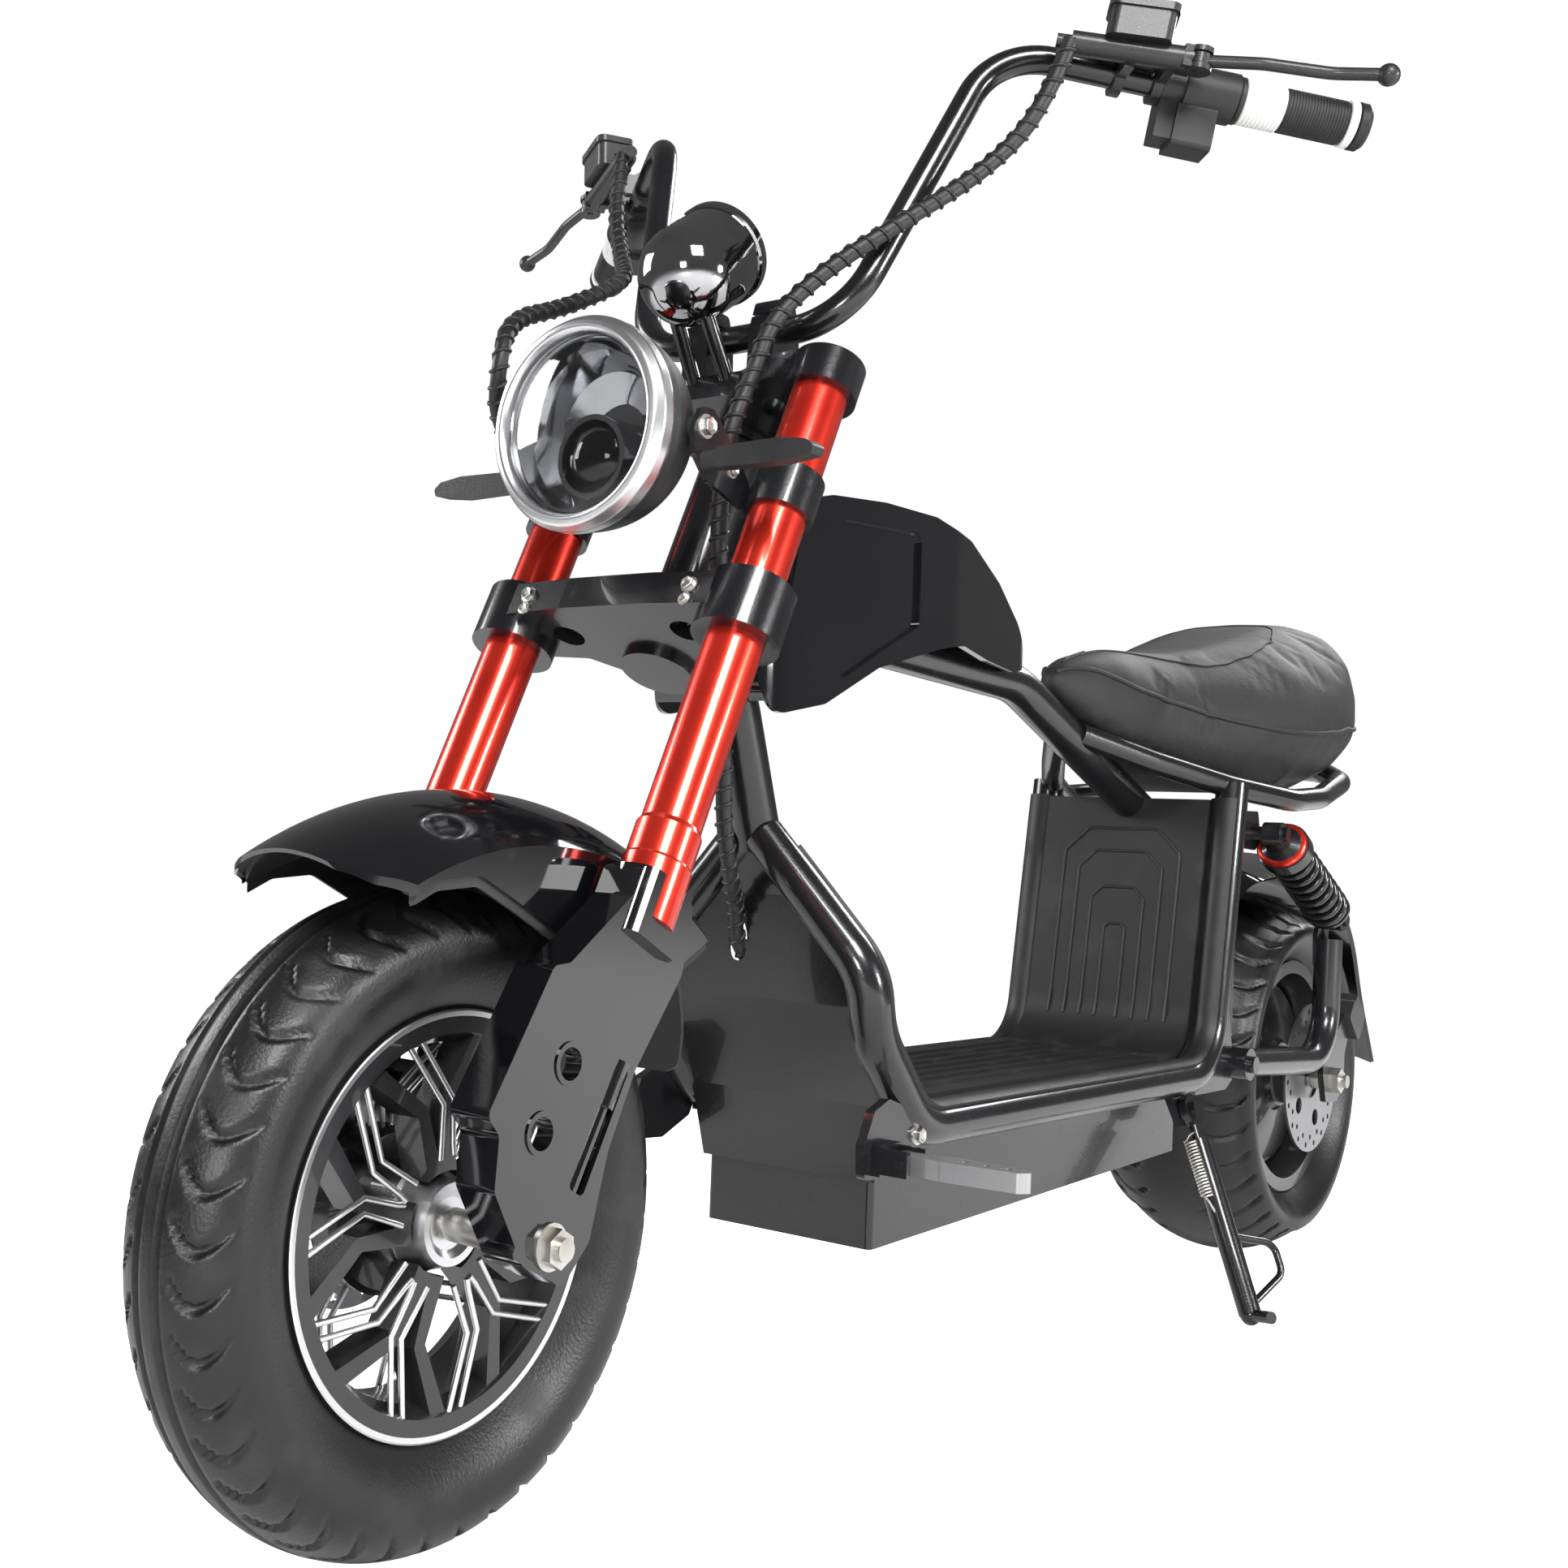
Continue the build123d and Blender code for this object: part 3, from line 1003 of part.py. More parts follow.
def lean_over():
    """Turn the machine onto its stand and centre its box over the origin."""
    lift = (FRONT_CROWN_R + REAR_CROWN_R) / 2 * (1 - cos(radians(LEAN)))
    lean = Pos(0, 0, lift) * Rot(0, LEAN, 0)
    for name in NODES:
        NODES[name] = lean * NODES[name]
    boxes = [body.bounding_box() for body in NODES.values()]
    mid_x = (min(b.min.X for b in boxes) + max(b.max.X for b in boxes)) / 2
    mid_y = (min(b.min.Y for b in boxes) + max(b.max.Y for b in boxes)) / 2
    shift = Pos(-mid_x, -mid_y, 0)
    for name in NODES:
        NODES[name] = shift * NODES[name]
    return shift * lean


build()
ROW_LOCATION = lean_over()
os.makedirs("parts", exist_ok=True)
for name, body in NODES.items():
    export_step(body, "parts/" + name + ".step")
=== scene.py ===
import json
import logging
from dataclasses import dataclass, field
from enum import Enum
from math import atan2, cos, radians, sin, tau

import bpy
from mathutils import Matrix, Vector


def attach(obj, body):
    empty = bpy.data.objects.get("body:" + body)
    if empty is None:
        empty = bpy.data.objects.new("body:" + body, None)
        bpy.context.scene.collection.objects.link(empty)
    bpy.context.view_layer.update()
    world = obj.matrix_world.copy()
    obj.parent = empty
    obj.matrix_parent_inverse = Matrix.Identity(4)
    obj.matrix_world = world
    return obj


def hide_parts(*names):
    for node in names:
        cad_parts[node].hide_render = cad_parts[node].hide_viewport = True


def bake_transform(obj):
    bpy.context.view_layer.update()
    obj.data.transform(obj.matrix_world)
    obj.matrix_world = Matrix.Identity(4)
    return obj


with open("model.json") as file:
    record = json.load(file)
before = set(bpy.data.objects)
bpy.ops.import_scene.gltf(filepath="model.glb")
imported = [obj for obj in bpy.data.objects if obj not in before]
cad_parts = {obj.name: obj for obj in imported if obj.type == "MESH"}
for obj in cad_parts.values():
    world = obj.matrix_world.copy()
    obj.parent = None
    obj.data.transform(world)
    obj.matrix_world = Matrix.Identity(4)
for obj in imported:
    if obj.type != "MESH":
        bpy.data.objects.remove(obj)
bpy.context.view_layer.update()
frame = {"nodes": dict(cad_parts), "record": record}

logging.basicConfig(level=logging.INFO, format="%(message)s")
log = logging.getLogger("scooter")

MM = 0.001
WHEEL_R = 217.0  # radius of both tyres and height of both axles, in millimetres
WELD = 0.00002  # points nearer than this become one, in metres
LATHE_SHARP = radians(32)  # edges sharper than this stay sharp on turned pieces
TUBE_SHARP = radians(50)  # the same on tubes
HEX = 1.732  # size over the flats of a hexagon of radius 1
WHITE = (1, 1, 1, 1)
SIDES = ((1, "left"), (-1, "right"))


def clamp(value: float) -> float:
    """Value kept between 0 and 1."""
    return min(1.0, max(0.0, value))


def refine(points: list, count: int) -> list:
    """Points with each run split into equal steps, without the last point."""
    fine = []
    for start, end in zip(points, points[1:]):
        fine += [tuple(a + (b - a) * n / count for a, b in zip(start, end)) for n in range(count)]
    return fine


class Kind(Enum):
    """Family of surfaces that share one set of nodes."""

    PAINT = "paint"
    RUBBER = "rubber"
    LEATHER = "leather"
    METAL = "metal"
    BRUSHED = "brushed"
    GLASS = "glass"


@dataclass(frozen=True)
class Finish:
    """Look of one material slot."""

    slot: str
    kind: Kind
    base: tuple
    worn: tuple
    rough: float
    metal: float = 0.0
    coat: float = 0.0
    grain: float = 700.0
    bump: float = 0.00012
    patch: float = 7.0


FINISHES = (
    Finish("tyre_rubber", Kind.RUBBER, (0.005, 0.005, 0.0055), (0.026, 0.025, 0.024), 0.4,
           grain=420, bump=0.0003),
    Finish("rim_black", Kind.PAINT, (0.012, 0.012, 0.013), (0.03, 0.03, 0.032), 0.3, coat=0.6),
    Finish("disc_steel", Kind.BRUSHED, (0.42, 0.42, 0.43), (0.2, 0.2, 0.21), 0.32, metal=1.0),
    Finish("zinc", Kind.METAL, (0.62, 0.61, 0.58), (0.4, 0.38, 0.33), 0.34,
           metal=1.0, grain=240, bump=0.0001),
    Finish("red_anodised", Kind.METAL, (0.72, 0.035, 0.018), (0.6, 0.022, 0.012), 0.24,
           metal=0.75, coat=0.4, grain=1500, bump=0.00002),
    Finish("gloss_black", Kind.PAINT, (0.003, 0.003, 0.004), (0.007, 0.007, 0.008), 0.09, coat=1.0,
           grain=90, bump=0.00004),
    Finish("satin_black", Kind.PAINT, (0.006, 0.006, 0.007), (0.014, 0.014, 0.016), 0.24,
           coat=0.5, grain=800),
    Finish("silver", Kind.BRUSHED, (0.74, 0.74, 0.75), (0.6, 0.6, 0.62), 0.3, metal=1.0, bump=0.00003),
    Finish("glass", Kind.GLASS, (0.96, 0.97, 0.98), (0.9, 0.91, 0.92), 0.02),
    Finish("black_plastic", Kind.PAINT, (0.016, 0.016, 0.017), (0.034, 0.034, 0.036), 0.45,
           grain=1400, bump=0.0002),
    Finish("chrome", Kind.METAL, (0.42, 0.42, 0.43), (0.3, 0.3, 0.31), 0.05,
           metal=1.0, grain=30, bump=0.00003),
    Finish("rubber_black", Kind.RUBBER, (0.009, 0.009, 0.01), (0.024, 0.024, 0.024), 0.48,
           grain=1600, bump=0.00015),
    Finish("cast_black", Kind.PAINT, (0.014, 0.014, 0.015), (0.04, 0.04, 0.042), 0.38,
           coat=0.2, grain=1100, bump=0.0003),
    Finish("spring_black", Kind.PAINT, (0.01, 0.01, 0.011), (0.026, 0.026, 0.028), 0.24, coat=0.6),
    Finish("seat_leather", Kind.LEATHER, (0.013, 0.012, 0.012), (0.022, 0.021, 0.02), 0.62,
           grain=620, bump=0.00022),
    Finish("band_white", Kind.RUBBER, (0.78, 0.78, 0.76), (0.6, 0.6, 0.58), 0.5, grain=1400),
    Finish("peg_silver", Kind.BRUSHED, (0.5, 0.5, 0.51), (0.3, 0.3, 0.31), 0.36, metal=1.0),
)


class Sock:
    """Output of a shader node with arithmetic operators."""

    def __init__(self, shader: "Shader", out: bpy.types.NodeSocket) -> None:
        self.shader = shader
        self.out = out

    def _op(self, name: str, a: object, b: object) -> "Sock":
        return self.shader.node("ShaderNodeMath", {"operation": name}, {0: a, 1: b})

    def __add__(self, other: object) -> "Sock":
        return self._op("ADD", self, other)

    def __rsub__(self, other: object) -> "Sock":
        return self._op("SUBTRACT", other, self)

    def __mul__(self, other: object) -> "Sock":
        return self._op("MULTIPLY", self, other)


class Shader:
    """One node material."""

    def __init__(self, name: str) -> None:
        self.material = bpy.data.materials.new(name)
        self.material.use_nodes = True
        self.tree = self.material.node_tree
        self.surface = self.tree.nodes["Principled BSDF"]
        self.where = self.node("ShaderNodeTexCoord", {}, {}, "Object")

    def node(self, kind: str, settings: dict, inputs: dict, out: object = 0) -> Sock:
        """Make a node.

        Args:
            kind: type of the node.
            settings: its properties, set before the inputs.
            inputs: sockets or constants by input name or number.
            out: name or number of the output that is wanted.

        Returns:
            That output, wrapped.
        """
        made = self.tree.nodes.new(kind)
        for key, value in settings.items():
            setattr(made, key, value)
        for key, value in inputs.items():
            self.feed(made.inputs[key], value)
        return Sock(self, made.outputs[out])

    def feed(self, socket: bpy.types.NodeSocket, value: object) -> None:
        """Link or set one input.

        Args:
            socket: the input.
            value: a wrapped output or a constant.
        """
        if isinstance(value, Sock):
            self.tree.links.new(value.out, socket)
        elif isinstance(value, tuple) and len(value) == 3 and socket.type == "RGBA":
            socket.default_value = (*value, 1.0)
        else:
            socket.default_value = value

    def noise(self, scale: float, detail: float, where: Sock | None = None) -> Sock:
        """Noise from 0 to 1 at a scale in object coordinates."""
        inputs = {"Vector": where or self.where, "Scale": scale, "Detail": detail}
        return self.node("ShaderNodeTexNoise", {}, inputs)

    def cells(self, scale: float, feature: str) -> Sock:
        """Distance in a cell pattern."""
        inputs = {"Vector": self.where, "Scale": scale}
        return self.node("ShaderNodeTexVoronoi", {"feature": feature}, inputs, "Distance")

    def stretch(self, scale: tuple) -> Sock:
        """Object coordinates scaled by axis."""
        return self.node("ShaderNodeVectorMath", {"operation": "MULTIPLY"}, {0: self.where, 1: scale})

    def step(self, value: Sock, low: float, high: float) -> Sock:
        """Smooth step from 0 at low to 1 at high."""
        inputs = {"Value": value, "From Min": low, "From Max": high}
        return self.node("ShaderNodeMapRange", {"interpolation_type": "SMOOTHSTEP"}, inputs)

    def blend(self, factor: object, first: object, second: object) -> Sock:
        """Mix of two colours, whose sockets share their names with others and go by number."""
        return self.node("ShaderNodeMix", {"data_type": "RGBA"}, {0: factor, 6: first, 7: second}, 2)

    def bump(self, height: Sock, distance: float) -> Sock:
        """Normal from a height.

        Args:
            height: height from 0 to 1.
            distance: what 1 stands for, in metres.

        Returns:
            The normal.
        """
        return self.node("ShaderNodeBump", {}, {"Height": height, "Distance": distance, "Strength": 1.0})

    def wear(self, **inputs: object) -> bpy.types.Material:
        """Set inputs of the surface by name, with underscores for spaces."""
        for key, value in inputs.items():
            self.feed(self.surface.inputs[key.replace("_", " ")], value)
        return self.material


class Finisher:
    """Makes the material of each slot once."""

    def __init__(self) -> None:
        self.made: dict = {}
        for finish in FINISHES:
            maker = getattr(self, finish.kind.value)
            self.made[finish.slot] = maker(Shader("finish_" + finish.slot), finish)
            log.info("material %s", finish.slot)

    def paint(self, shader: Shader, finish: Finish) -> bpy.types.Material:
        """Painted or moulded surface with orange peel, faint patches and dust."""
        patches = shader.noise(finish.patch, 5)
        dust = shader.step(shader.noise(60, 6), 0.56, 0.78)
        height = shader.noise(finish.grain, 2) + shader.noise(finish.grain / 6, 2) * 0.5
        age = shader.step(patches, 0.35, 0.8) * 0.6 + dust * 0.25
        colour = shader.blend(age, finish.base, finish.worn)
        rough = patches * 0.1 + dust * 0.08 + (finish.rough - 0.06)
        return shader.wear(
            Base_Color=colour, Roughness=rough, Metallic=finish.metal, Coat_Weight=finish.coat,
            Coat_Roughness=0.05, Specular_IOR_Level=0.35, Normal=shader.bump(height, finish.bump),
        )

    def rubber(self, shader: Shader, finish: Finish) -> bpy.types.Material:
        """Rubber with a fine grain, scuffs and pale dust."""
        scuffs = shader.step(shader.noise(18, 9), 0.52, 0.72)
        smear = shader.noise(5, 4, shader.stretch((3.0, 1.0, 1.0)))
        height = shader.noise(finish.grain, 4) + scuffs * 0.4
        colour = shader.blend(scuffs * smear, finish.base, finish.worn)
        rough = scuffs * 0.14 + smear * 0.08 + (finish.rough - 0.06)
        return shader.wear(
            Base_Color=colour, Roughness=rough, Specular_IOR_Level=0.45,
            Normal=shader.bump(height, finish.bump),
        )

    def leather(self, shader: Shader, finish: Finish) -> bpy.types.Material:
        """Leather: pebbled cells with creases, worn lighter on the high places."""
        pebble = shader.cells(finish.grain, "SMOOTH_F1")
        crease = shader.step(shader.cells(finish.grain / 3.2, "DISTANCE_TO_EDGE"), 0.0, 0.12)
        patches = shader.noise(9, 5)
        height = (1.0 - pebble) * 0.6 + crease * 0.4 + shader.noise(finish.grain * 4, 2) * 0.15
        colour = shader.blend(shader.step(patches, 0.3, 0.8) * crease, finish.base, finish.worn)
        rough = patches * 0.16 + pebble * 0.08 + (finish.rough - 0.1)
        return shader.wear(
            Base_Color=colour, Roughness=rough, Specular_IOR_Level=0.35,
            Normal=shader.bump(height, finish.bump),
        )

    def metal(self, shader: Shader, finish: Finish) -> bpy.types.Material:
        """Polished, plated or anodised metal with soft smears."""
        smear = shader.noise(finish.patch * 3, 5)
        fine = shader.noise(finish.grain, 3)
        colour = shader.blend(shader.step(smear, 0.4, 0.75), finish.base, finish.worn)
        rough = smear * 0.07 + fine * 0.03 + (finish.rough - 0.04)
        return shader.wear(
            Base_Color=colour, Roughness=rough, Metallic=finish.metal, Coat_Weight=finish.coat,
            Coat_Roughness=0.04, Normal=shader.bump(fine, finish.bump),
        )

    def brushed(self, shader: Shader, finish: Finish) -> bpy.types.Material:
        """Machined metal with fine tool marks."""
        lines = shader.noise(2200, 2, shader.stretch((1.0, 0.06, 1.0)))
        smear = shader.noise(26, 4)
        colour = shader.blend(lines * 0.5 + smear * 0.3, finish.base, finish.worn)
        rough = lines * 0.12 + smear * 0.08 + (finish.rough - 0.08)
        return shader.wear(
            Base_Color=colour, Roughness=rough, Metallic=finish.metal,
            Normal=shader.bump(lines, finish.bump / 3),
        )

    def glass(self, shader: Shader, finish: Finish) -> bpy.types.Material:
        """Clear glass with a trace of film on it."""
        film = shader.step(shader.noise(22, 5), 0.5, 0.8)
        colour = shader.blend(film, finish.base, finish.worn)
        return shader.wear(
            Base_Color=colour, Roughness=film * 0.04 + finish.rough, Transmission_Weight=1.0, IOR=1.45,
            Normal=shader.bump(shader.noise(14, 2), 0.00002),
        )

    def give(self, piece: bpy.types.Object, slot: str, look: str = "") -> None:
        """Put a slot's material on a piece of the scene.

        Args:
            piece: the new object.
            slot: material slot of the record.
            look: finish to use where it isn't the slot's own.
        """
        piece.data.materials.clear()
        piece.data.materials.append(self.made[look or slot])

    def give_all(self) -> None:
        """Put the materials on every CAD node."""
        for part in frame["record"]["subparts"]:
            node = frame["nodes"][part["node"]]
            material = self.made[part["material_slot"]]
            if not node.material_slots:
                node.data.materials.append(material)
            for held in node.material_slots:
                held.material = material


@dataclass
class Row:
    """Place of the leaning scooter: upright machine places become places in the row frame."""

    lean: float = 6.0
    wheel_radius: float = 0.217
    rake: float = 26.6
    fork_y: float = -6.0

    def matrix(self) -> Matrix:
        """Matrix from the upright machine frame (front axle over the origin) to the row frame."""
        joints = {joint["name"]: joint for joint in frame["record"]["behaviour"]["joints"]}
        hub = Vector(joints["front_wheel_spin"]["pos_m"])
        turn = Matrix.Rotation(radians(self.lean), 4, "Y")
        return Matrix.Translation(hub - turn @ Vector((0, 0, self.wheel_radius))) @ turn

    def at(self, x: float, y: float, z: float) -> Vector:
        """Row place of a machine place in millimetres."""
        return self.matrix() @ (Vector((x, y, z)) * MM)

    def way(self, x: float, y: float, z: float) -> Vector:
        """Row direction of a machine direction."""
        return (self.matrix().to_3x3() @ Vector((x, y, z))).normalized()

    def fork(self, x: float, v: float, t: float) -> Vector:
        """Row place of a place given across and along the fork, in millimetres."""
        a = radians(self.rake)
        y = self.fork_y + t * sin(a) + v * cos(a)
        return self.at(x, y, self.wheel_radius / MM + t * cos(a) - v * sin(a))


class Tools:
    """Modelling steps that the sub-assemblies share."""

    def __init__(self, finisher: Finisher) -> None:
        self.finisher = finisher

    def link(self, name: str, mesh: bpy.types.Mesh) -> bpy.types.Object:
        """Link a mesh as the one selected, active object."""
        piece = bpy.data.objects.new(name, mesh)
        bpy.context.scene.collection.objects.link(piece)
        bpy.ops.object.select_all(action="DESELECT")
        piece.select_set(True)
        bpy.context.view_layer.objects.active = piece
        return piece

    def join(self, made: list, name: str) -> bpy.types.Object:
        """Join pieces into the first of them and name it."""
        bpy.ops.object.select_all(action="DESELECT")
        for piece in made:
            piece.select_set(True)
        bpy.context.view_layer.objects.active = made[0]
        bpy.ops.object.join()
        joined = bpy.context.object
        joined.name = name
        return joined

    def change(self, piece: bpy.types.Object, kind: str, **settings: object) -> None:
        """Add a modifier to the active piece, set it and apply it."""
        bpy.ops.object.modifier_add(type=kind)
        modifier = piece.modifiers[-1]
        for key, value in settings.items():
            setattr(modifier, key, value)
        bpy.ops.object.modifier_apply(modifier=modifier.name)

    def lathe(
        self, name: str, profile: list, origin: Vector, axis: Vector, steps: int = 48
    ) -> bpy.types.Object:
        """Turn a profile round an axis.

        Args:
            name: name of the piece.
            profile: (along, radius) pairs in millimetres.
            origin: row place that "along" starts from.
            axis: row direction of the axis.
            steps: how many faces go round.

        Returns:
            The piece.
        """
        out = axis.orthogonal().normalized()
        mesh = bpy.data.meshes.new(name)
        points = [origin + axis * (t * MM) + out * (r * MM) for t, r in profile]
        mesh.from_pydata(points, [(n, n + 1) for n in range(len(points) - 1)], [])
        piece = self.link(name, mesh)
        bpy.ops.object.mode_set(mode="EDIT")
        bpy.ops.mesh.select_all(action="SELECT")
        bpy.ops.mesh.spin(steps=steps, angle=tau, center=origin, axis=axis)
        bpy.ops.mesh.select_all(action="SELECT")
        bpy.ops.mesh.remove_doubles(threshold=WELD)
        bpy.ops.mesh.normals_make_consistent(inside=False)
        bpy.ops.object.mode_set(mode="OBJECT")
        bpy.ops.object.shade_smooth_by_angle(angle=LATHE_SHARP)
        return piece

    def sweep(
        self, name: str, points: list, radius: float, resolution: int, smooth: bool
    ) -> bpy.types.Mesh:
        """Mesh of a curve along points, which is a bare line when the radius is 0.

        Args:
            name: name of the mesh.
            points: row places.
            radius: radius in millimetres.
            resolution: steps from point to point on a smooth line.
            smooth: a NURBS line when true, else straight runs.

        Returns:
            The mesh.
        """
        data = bpy.data.curves.new(name, "CURVE")
        data.dimensions = "3D"
        data.bevel_depth = radius * MM
        data.bevel_resolution = 3
        data.resolution_u = resolution
        data.use_fill_caps = True
        line = data.splines.new("NURBS" if smooth else "POLY")
        line.points.add(len(points) - 1)
        for point, place in zip(line.points, points):
            point.co = (*place, 1.0)
        if smooth:
            line.order_u = 3
            line.use_endpoint_u = True
        maker = bpy.data.objects.new(name + "_line", data)
        bpy.context.scene.collection.objects.link(maker)
        bpy.context.view_layer.update()
        graph = bpy.context.evaluated_depsgraph_get()
        mesh = bpy.data.meshes.new_from_object(maker.evaluated_get(graph))
        bpy.data.objects.remove(maker)
        return mesh

    def tube(self, name: str, points: list, radius: float, smooth: bool = True) -> bpy.types.Object:
        """Round tube along points, as a mesh.

        Args:
            name: name of the piece.
            points: row places.
            radius: radius in millimetres.
            smooth: a NURBS line when true, else straight runs.

        Returns:
            The piece.
        """
        piece = self.link(name, self.sweep(name, points, radius, 12, smooth))
        bpy.ops.object.shade_smooth_by_angle(angle=TUBE_SHARP)
        return piece

    def bolt(self, name: str, place: Vector, axis: Vector, across: float, height: float, body: str) -> None:
        """Flanged hexagon bolt head with a chamfer and a dished top.

        Args:
            name: name of the piece.
            place: row place of its seat.
            axis: row direction that it faces.
            across: size over the flats in millimetres.
            height: height of the head in millimetres.
            body: CAD body that it rides on.
        """
        bpy.ops.object.select_all(action="DESELECT")
        turn = axis.to_track_quat("Z", "Y").to_euler()
        middle = place + axis * (height * MM / 2)
        bpy.ops.mesh.primitive_cylinder_add(
            vertices=6, radius=across * MM / HEX, depth=height * MM, location=middle, rotation=turn
        )
        head = bpy.context.object
        head.name = name
        bpy.ops.object.transform_apply(location=True, rotation=True, scale=True)
        bpy.ops.object.mode_set(mode="EDIT")
        bpy.ops.mesh.select_mode(type="FACE")
        bpy.ops.mesh.select_all(action="DESELECT")
        bpy.ops.object.mode_set(mode="OBJECT")
        for face in head.data.polygons:
            face.select = face.normal.dot(axis) > 0.9
        bpy.ops.object.mode_set(mode="EDIT")
        bpy.ops.mesh.inset(thickness=across * MM * 0.14, depth=0)
        bpy.ops.mesh.inset(thickness=across * MM * 0.1, depth=-0.0008)
        bpy.ops.mesh.select_all(action="SELECT")
        bpy.ops.mesh.bevel(offset=0.0005, segments=1, affect="EDGES")
        bpy.ops.object.mode_set(mode="OBJECT")
        self.finisher.give(head, "zinc")
        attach(head, body)
        ring = [(0, across * 0.3), (0, across * 0.76), (1.2, across * 0.74), (1.4, across * 0.3)]
        washer = self.lathe(name + "_washer", ring, place, axis, 24)
        self.finisher.give(washer, "zinc")
        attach(washer, body)

    def dress(self, piece: bpy.types.Object, slot: str, body: str, *nodes: str) -> bpy.types.Object:
        """Give a piece its material, its body and the CAD nodes it stands for."""
        self.finisher.give(piece, slot)
        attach(piece, body)
        if nodes:
            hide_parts(*nodes)
        log.info("piece %s: %d faces", piece.name, len(piece.data.polygons))
        return piece


@dataclass
class Tyre:
    """Road tyre with curved grooves cut into its shoulders."""

    name: str
    body: str
    node: str
    y: float
    width: float
    crown: float
    rim_half: float
    grooves: int
    tools: Tools
    row: Row
    radius: float = WHEEL_R
    lip: float = 138.0
    seat: float = 127.0
    depth: float = 4.6
    edge_share: float = 0.84  # tread's share of the half width
    crown_steps: int = 14
    wall_steps: int = 15
    groove_half: float = 3.6
    rib_half: float = 1.9
    rib_at: float = 0.16
    bend: tuple = (0.55, 0.62, 0.1, 0.3)  # rise, middle, spread and slope of a groove's curve
    fade: tuple = (0.3, 0.08, 0.97, 0.06)  # where grooves start and end, and over what share

    def profile(self) -> list:
        """Section of the tyre as (along the axle, radius) pairs, with a fine crown."""
        half = self.width / 2
        edge = half * self.edge_share
        drop = self.crown - (self.crown ** 2 - edge ** 2) ** 0.5
        wall_r = (self.radius + self.lip) / 2
        bead = self.rim_half - 3
        bulge = 2 * half - (edge + bead) / 2
        tread = [edge * (n / self.crown_steps - 1) for n in range(2 * self.crown_steps + 1)]
        crown = [(x, self.radius - self.crown + (self.crown ** 2 - x ** 2) ** 0.5) for x in tread]
        side = []
        for n in range(1, self.wall_steps):
            s = n / self.wall_steps
            first, middle, last = (1 - s) ** 2, 2 * s * (1 - s), s ** 2
            x = first * edge + middle * bulge + last * bead
            r = first * (self.radius - drop) + middle * wall_r + last * (self.lip + 1)
            side.append((min(x, half), r))
        right = side + [(bead, self.lip + 1), (bead, self.seat), (0, self.seat + 0.5)]
        return [(-x, r) for x, r in reversed(right)] + crown + right

    def cut(self, piece: bpy.types.Object) -> None:
        """Press the grooves into the mesh.

        Args:
            piece: the turned tyre.
        """
        row = self.row.matrix()
        back = row.inverted()
        half = self.width / 2
        pitch = tau / self.grooves
        rise, middle, spread, slope = self.bend
        begin, fade_in, end, fade_out = self.fade
        for vertex in piece.data.vertices:
            place = back @ vertex.co
            dy, dz = place.y - self.y * MM, place.z - self.radius * MM
            r = (dy * dy + dz * dz) ** 0.5 / MM
            if r < self.radius * 0.8:
                continue
            across = abs(place.x) / MM / half
            side = 0.0 if place.x > 0 else 0.5
            bow = rise * (across - middle) ** 2 / spread - slope * across
            turn = (atan2(dz, dy) / pitch + side + bow) % 1.0
            gap = abs(turn - 0.5) * pitch * self.radius
            window = clamp((across - begin) / fade_in) * clamp((end - across) / fade_out)
            groove = clamp(self.groove_half - gap) * window
            rib = clamp((self.rib_half - abs(across * half - self.rib_at * half)) / 0.8)
            push = self.depth * max(groove, rib * 0.8) / r
            vertex.co = row @ Vector((place.x, place.y - dy * push, place.z - dz * push))

    def build(self) -> None:
        """Make the tyre."""
        origin = self.row.at(0, self.y, self.radius)
        steps = 640
        piece = self.tools.lathe(self.name, self.profile(), origin, self.row.way(1, 0, 0), steps)
        self.cut(piece)
        self.tools.dress(piece, "tyre_rubber", self.body, self.node)


@dataclass
class FrontRim:
    """Bright machined edges on the split spokes and lip."""

    tools: Tools
    row: Row
    pairs: int = 5
    start: float = 12.0
    face: float = 33.0
    near: tuple = ((1.4, 44), (3.4, 51), (8.2, 80), (50.0, 121))
    far: tuple = ((57.5, 114), (17.0, 76), (13.8, 40))
    lip: tuple = ((0, 130), (0, 136.5), (2, 138.6), (2.6, 137.4), (2.0, 134), (1, 130))

    def place(self, turn: float, side: float, across: float, radius: float) -> Vector:
        """Row place of a point on the wheel's face."""
        a = radians(turn)
        y = radius * cos(a) - across * sin(a)
        z = WHEEL_R + radius * sin(a) + across * cos(a)
        return self.row.at(side * (self.face - 0.2), y, z)

    def build(self) -> None:
        """Make the edges as one piece a side, and a lip ring a side."""
        for side, label in SIDES:
            made = []
            for n in range(self.pairs):
                turn = self.start + 360 / self.pairs * n
                for hand in (1, -1):
                    for line in (self.near, self.far):
                        points = [self.place(turn, side, hand * s, r) for s, r in line]
                        made.append(self.tools.tube("edge", points, 2.1, False))
            edges = self.tools.join(made, "spoke_edges_" + label)
            self.tools.dress(edges, "silver", "front_wheel")
            origin = self.row.at(side * (self.face + 0.5), 0, WHEEL_R)
            ring = self.tools.lathe("rim_lip_" + label, self.lip, origin, self.row.way(side, 0, 0), 128)
            self.tools.dress(ring, "silver", "front_wheel")


